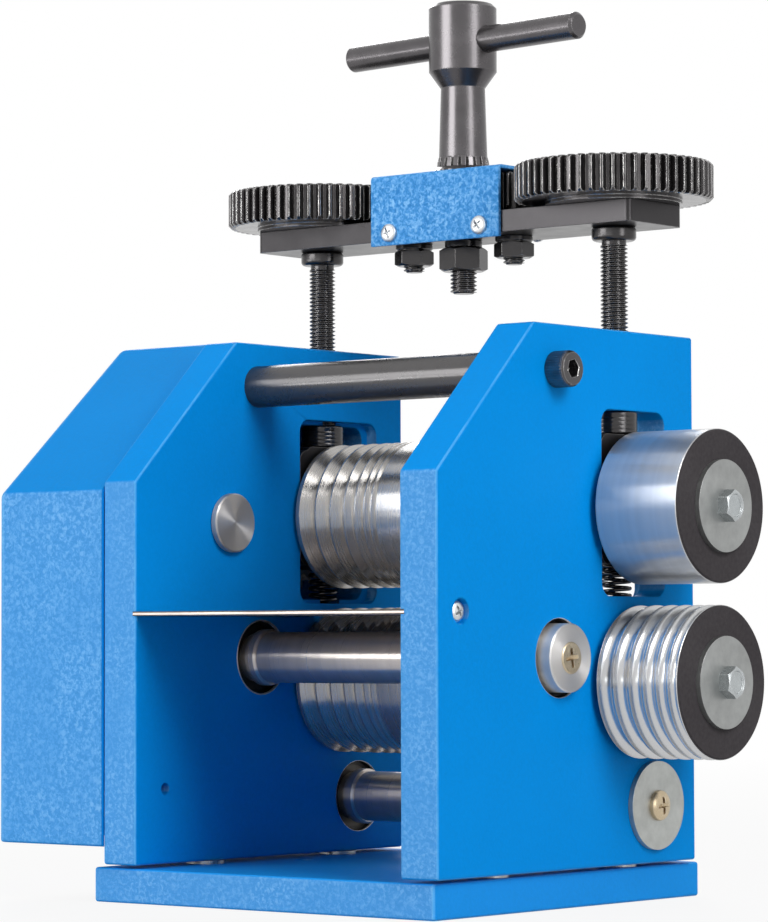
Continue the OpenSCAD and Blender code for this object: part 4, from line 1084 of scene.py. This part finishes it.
def runout_teeth():
    """The pinion's teeth where they run out in the stem above the cover."""
    bar_top = mm_box("bridge_bar")[1][2]
    low, high = bar_top + RUNOUT_RISE - RUNOUT_BELOW, bar_top + RUNOUT_RISE + RUNOUT_ABOVE
    y = middle(*mm_box("handle_nut"))[1]
    stem_r = STEM_D / 2
    inner_r, skin_r, sleeve_r = stem_r - RUNOUT_ROOT_DEPTH, stem_r + RUNOUT_SKIN, stem_r - SLEEVE_DEPTH
    sleeve = [(sleeve_r, low), (skin_r, low), (skin_r, high - RUNOUT_END), (sleeve_r, high)]
    # The sleeve between the teeth is near black, painted shade in the tooth gaps.
    gaps = make("tooth_gaps", *moved(lathe(sleeve), 0.0, y), gap_shade_black)
    rows = ((inner_r, low), (stem_r + RUNOUT_TOOTH_RISE, low),
            (stem_r + RUNOUT_BACK_RISE, high - RUNOUT_BACK_DROP),
            (skin_r, high + RUNOUT_END), (inner_r, high + RUNOUT_END))
    wide = math.pi / PINION_TEETH * RUNOUT_TOOTH_SHARE
    n = len(rows)
    points, faces = [], []
    for i in range(PINION_TEETH):
        a = 2 * math.pi * i / PINION_TEETH
        start = len(points)
        points += [(radius * math.cos(a + side), radius * math.sin(a + side) + y, level)
                   for radius, level in rows for side in (-wide, wide)]
        faces += [(start + 2 * k, start + 2 * k + 1, start + 2 * k + 3, start + 2 * k + 2)
                  for k in range(n - 1)]
        faces += [tuple(start + 2 * k for k in range(n)), tuple(start + 2 * k + 1 for k in range(n))]
        faces.append((start, start + 1, start + 2 * n - 1, start + 2 * n - 2))
    join("pinion_runout", gaps, make("runout_teeth", points, faces, handle_black, 20))
    stand_in("pinion_runout", "handle")


def hexagon_head(name, across, height, material, segments=96):
    """A hexagon head with a rounded crown and a shallow dish in its face."""
    crown = across / 2 * BOLT_CROWN_SHARE
    points = []
    for i in range(segments):
        a = 2 * math.pi * i / segments
        side = across / 2 / math.cos(a % (math.pi / 3) - math.pi / 6)
        rows = ((side, 0.0), (side, height - (side - crown) * CHAMFER_SLOPE), (crown, height),
                (crown - BOLT_RIM, height), (crown - BOLT_DISH_INSET, height - BOLT_DISH),
                (0.0, height - BOLT_DISH))
        points += [(r * math.cos(a), r * math.sin(a), z) for r, z in rows]
    return make(name, points, ring_faces(segments, len(rows)), material, 25)


def end_bolts():
    """The hexagon heads on the side rolls."""
    for side, body in (("lower", "lower_roll_set"), ("upper", "upper_roll_set")):
        node = side + "_end_bolt"
        low, high = mm_box(node)
        _, y, z = middle(low, high)
        washer = mm_box(side + "_side_washer")[1][0]
        head = hexagon_head(side + "_bolt_head", high[2] - low[2], high[0] - washer, bolt_zinc)
        place(head, (washer, y, z), (1, 0, 0), BOLT_TURN)
        stand_in(head.name, body, node)


def soften():
    """Small round edges on the nodes that stay."""
    for name, width_mm in SOFT_EDGES:
        made = nodes[name].modifiers.new("edges", "BEVEL")
        made.width = width_mm * MM
        made.segments = 3
        made.limit_method = "ANGLE"
        made.angle_limit = math.radians(40)
        made.harden_normals = True


def screw_heads():
    low, high = mm_box("pinion_cover_screws")
    reach = high[0] - PIN_HEAD_INSET
    z = middle(low, high)[2] - PIN_HEAD_DROP
    front, back = low[1] + PIN_HEAD_BITE, high[1] - PIN_HEAD_BITE
    corners = ((-reach, front, -1), (reach, front, -1), (-reach, back, 1), (reach, back, 1))
    heads = [place(cross_head("pin_head_" + str(i), PIN_HEAD_D, PIN_HEAD_H, white_zinc),
                   (x, y, z), (0, way, 0), PIN_HEAD_TURNS[i]) for i, (x, y, way) in enumerate(corners)]
    join("pinion_cover_heads", *heads)
    stand_in("pinion_cover_heads", "bridge", "pinion_cover_screws")

    low, high = mm_box("guide_screws")
    _, y, z = middle(low, high)
    heads = [place(cross_head("guide_head_" + str(i), GUIDE_HEAD_D, SCREW_HEAD_H, white_zinc),
                   (way * (high[0] - SCREW_HEAD_H), y, z), (way, 0, 0), GUIDE_HEAD_TURN * i)
             for i, way in enumerate((-1, 1))]
    join("guide_heads", *heads)
    stand_in("guide_heads", "frame", "guide_screws")

    heads = []
    for i, (low, high) in enumerate(islands("cover_screws")):
        _, y, z = middle(low, high)
        head = cross_head("cover_head_" + str(i), high[1] - low[1], SCREW_HEAD_H, white_zinc)
        heads.append(place(head, (low[0] + SCREW_HEAD_H, y, z), (-1, 0, 0), COVER_HEAD_TURN * i))
    join("cover_heads", *heads)
    stand_in("cover_heads", "frame", "cover_screws")

    for name, body, height, domed, spin in (
            ("layshaft_screw", "layshaft_set", LAYSHAFT_HEAD_H, False, LAYSHAFT_HEAD_TURN),
            ("crank_screw", "crank_set", SCREW_HEAD_H, True, CRANK_HEAD_TURN)):
        low, high = mm_box(name)
        _, y, z = middle(low, high)
        head = cross_head(name + "_head", high[1] - low[1], height, yellow_zinc, domed)
        place(head, (high[0] - height, y, z), (1, 0, 0), spin)
        stand_in(name + "_head", body, name)


# Stage

FLOOR_GREY = (0.42, 0.42, 0.425)
FLOOR_REACH = 30000
FLOOR_DROP = 0.05
FADE_M = (0.45, 1.6)
GLOW_SHARES = (0.9, 1.0)
WORLD_LEVELS = ((0.0, 0.06), (0.5, 0.13), (0.62, 0.18), (0.8, 0.24), (1.0, 0.3))
# Name, place, target, width and height in millimetres, and power in watts
LAMPS = (
    ("key", (-560, -1480, 600), (0, 0, 120), (900, 650), 14.2),
    ("over", (1200, -300, 1000), (0, 0, 120), (700, 600), 11),
    ("side", (1500, -250, 500), (60, 0, 120), (500, 1100), 7),
    ("left", (-1100, -1350, 130), (0, 0, 100), (900, 200), 4),
    ("front", (150, -1650, 200), (0, 0, 130), (1300, 160), 1.2),
    ("rim", (-900, 900, 900), (0, 0, 150), (600, 600), 7),
)


def seen_rays(tree):
    """1 for the rays that show the background: those of the camera, gloss and glass."""
    path = tree.nodes.new("ShaderNodeLightPath")
    found = path.outputs["Is Camera Ray"]
    for kind in ("Is Glossy Ray", "Is Transmission Ray"):
        either = tree.nodes.new("ShaderNodeMath")
        either.operation = "MAXIMUM"
        tree.links.new(found, either.inputs[0])
        tree.links.new(path.outputs[kind], either.inputs[1])
        found = either.outputs["Value"]
    return found


def floor():
    """A pale floor that keeps the shadow near the object and fades into the background."""
    look = Shader("floor")
    look.set(Base_Color=(*FLOOR_GREY, 1), Roughness=0.6)
    away = look.vector("LENGTH", look.place).outputs["Value"]
    glow = look.add("ShaderNodeEmission")
    glow.inputs["Color"].default_value = (1, 1, 1, 1)
    share = look.math("MULTIPLY", seen_rays(look.tree), look.spread(away, *FADE_M, *GLOW_SHARES))
    blend = look.add("ShaderNodeMixShader")
    look.link(share, blend.inputs["Fac"])
    look.link(look.surface.outputs["BSDF"], blend.inputs[1])
    look.link(glow.outputs["Emission"], blend.inputs[2])
    look.link(blend.outputs["Shader"], look.tree.nodes["Material Output"].inputs["Surface"])
    far = FLOOR_REACH
    plane = make("floor", [(-far, -far, 0), (far, -far, 0), (far, far, 0), (-far, far, 0)],
                 [(0, 1, 2, 3)], look.material)
    plane.location.z = -FLOOR_DROP * MM


def lamp(name, place_mm, target_mm, size_mm, watts):
    data = bpy.data.lights.new(name, "AREA")
    data.shape = "RECTANGLE"
    data.size, data.size_y = size_mm[0] * MM, size_mm[1] * MM
    data.energy = watts
    made = put(name, data)
    made.location = Vector(place_mm) * MM
    made.rotation_euler = (Vector(target_mm) - Vector(place_mm)).to_track_quat("-Z", "Y").to_euler()


def world():
    """Grey light that grows towards the top, behind a white background."""
    made = bpy.data.worlds.new("studio")
    bpy.context.scene.world = made
    made.use_nodes = True
    tree = made.node_tree
    back = tree.nodes["Background"]
    back.inputs["Strength"].default_value = 1.0
    way = tree.nodes.new("ShaderNodeTexCoord")
    split = tree.nodes.new("ShaderNodeSeparateXYZ")
    ramp = tree.nodes.new("ShaderNodeValToRGB")
    span = tree.nodes.new("ShaderNodeMapRange")
    span.inputs["From Min"].default_value = -1
    tree.links.new(way.outputs["Generated"], split.inputs["Vector"])
    tree.links.new(split.outputs["Z"], span.inputs["Value"])
    tree.links.new(span.outputs["Result"], ramp.inputs["Fac"])
    stops = ramp.color_ramp.elements
    for at, _ in WORLD_LEVELS[1:-1]:
        stops.new(at)
    for stop, (_, level) in zip(stops, WORLD_LEVELS):
        stop.color = (level, level, level, 1)
    shown = tree.nodes.new("ShaderNodeMix")
    shown.data_type = "RGBA"
    tree.links.new(seen_rays(tree), shown.inputs["Factor"])
    tree.links.new(ramp.outputs["Color"], shown.inputs[6])
    shown.inputs[7].default_value = (1, 1, 1, 1)
    tree.links.new(shown.outputs[2], back.inputs["Color"])


aim_camera()
dress_nodes()
for side in ("left", "right"):
    adjust_screw(side)
    spring(side)
rounded("side_plate_left", plate_blue, (1, 0, 0), mm_box("side_plate_left")[1][1] - SQUARE_BACK)
rounded("side_plate_right", plate_blue, (-1, 0, 0))
rounded("base_plate", base_blue)
rounded("gear_cover", cover_blue, (1, 0, 0))
pinion_cover()
handle()
studs()
socket_screws()
screw_heads()
end_bolts()
nuts()
runout_teeth()
soften()
floor()
world()
for settings in LAMPS:
    lamp(*settings)
bpy.context.scene.view_settings.view_transform = "Standard"
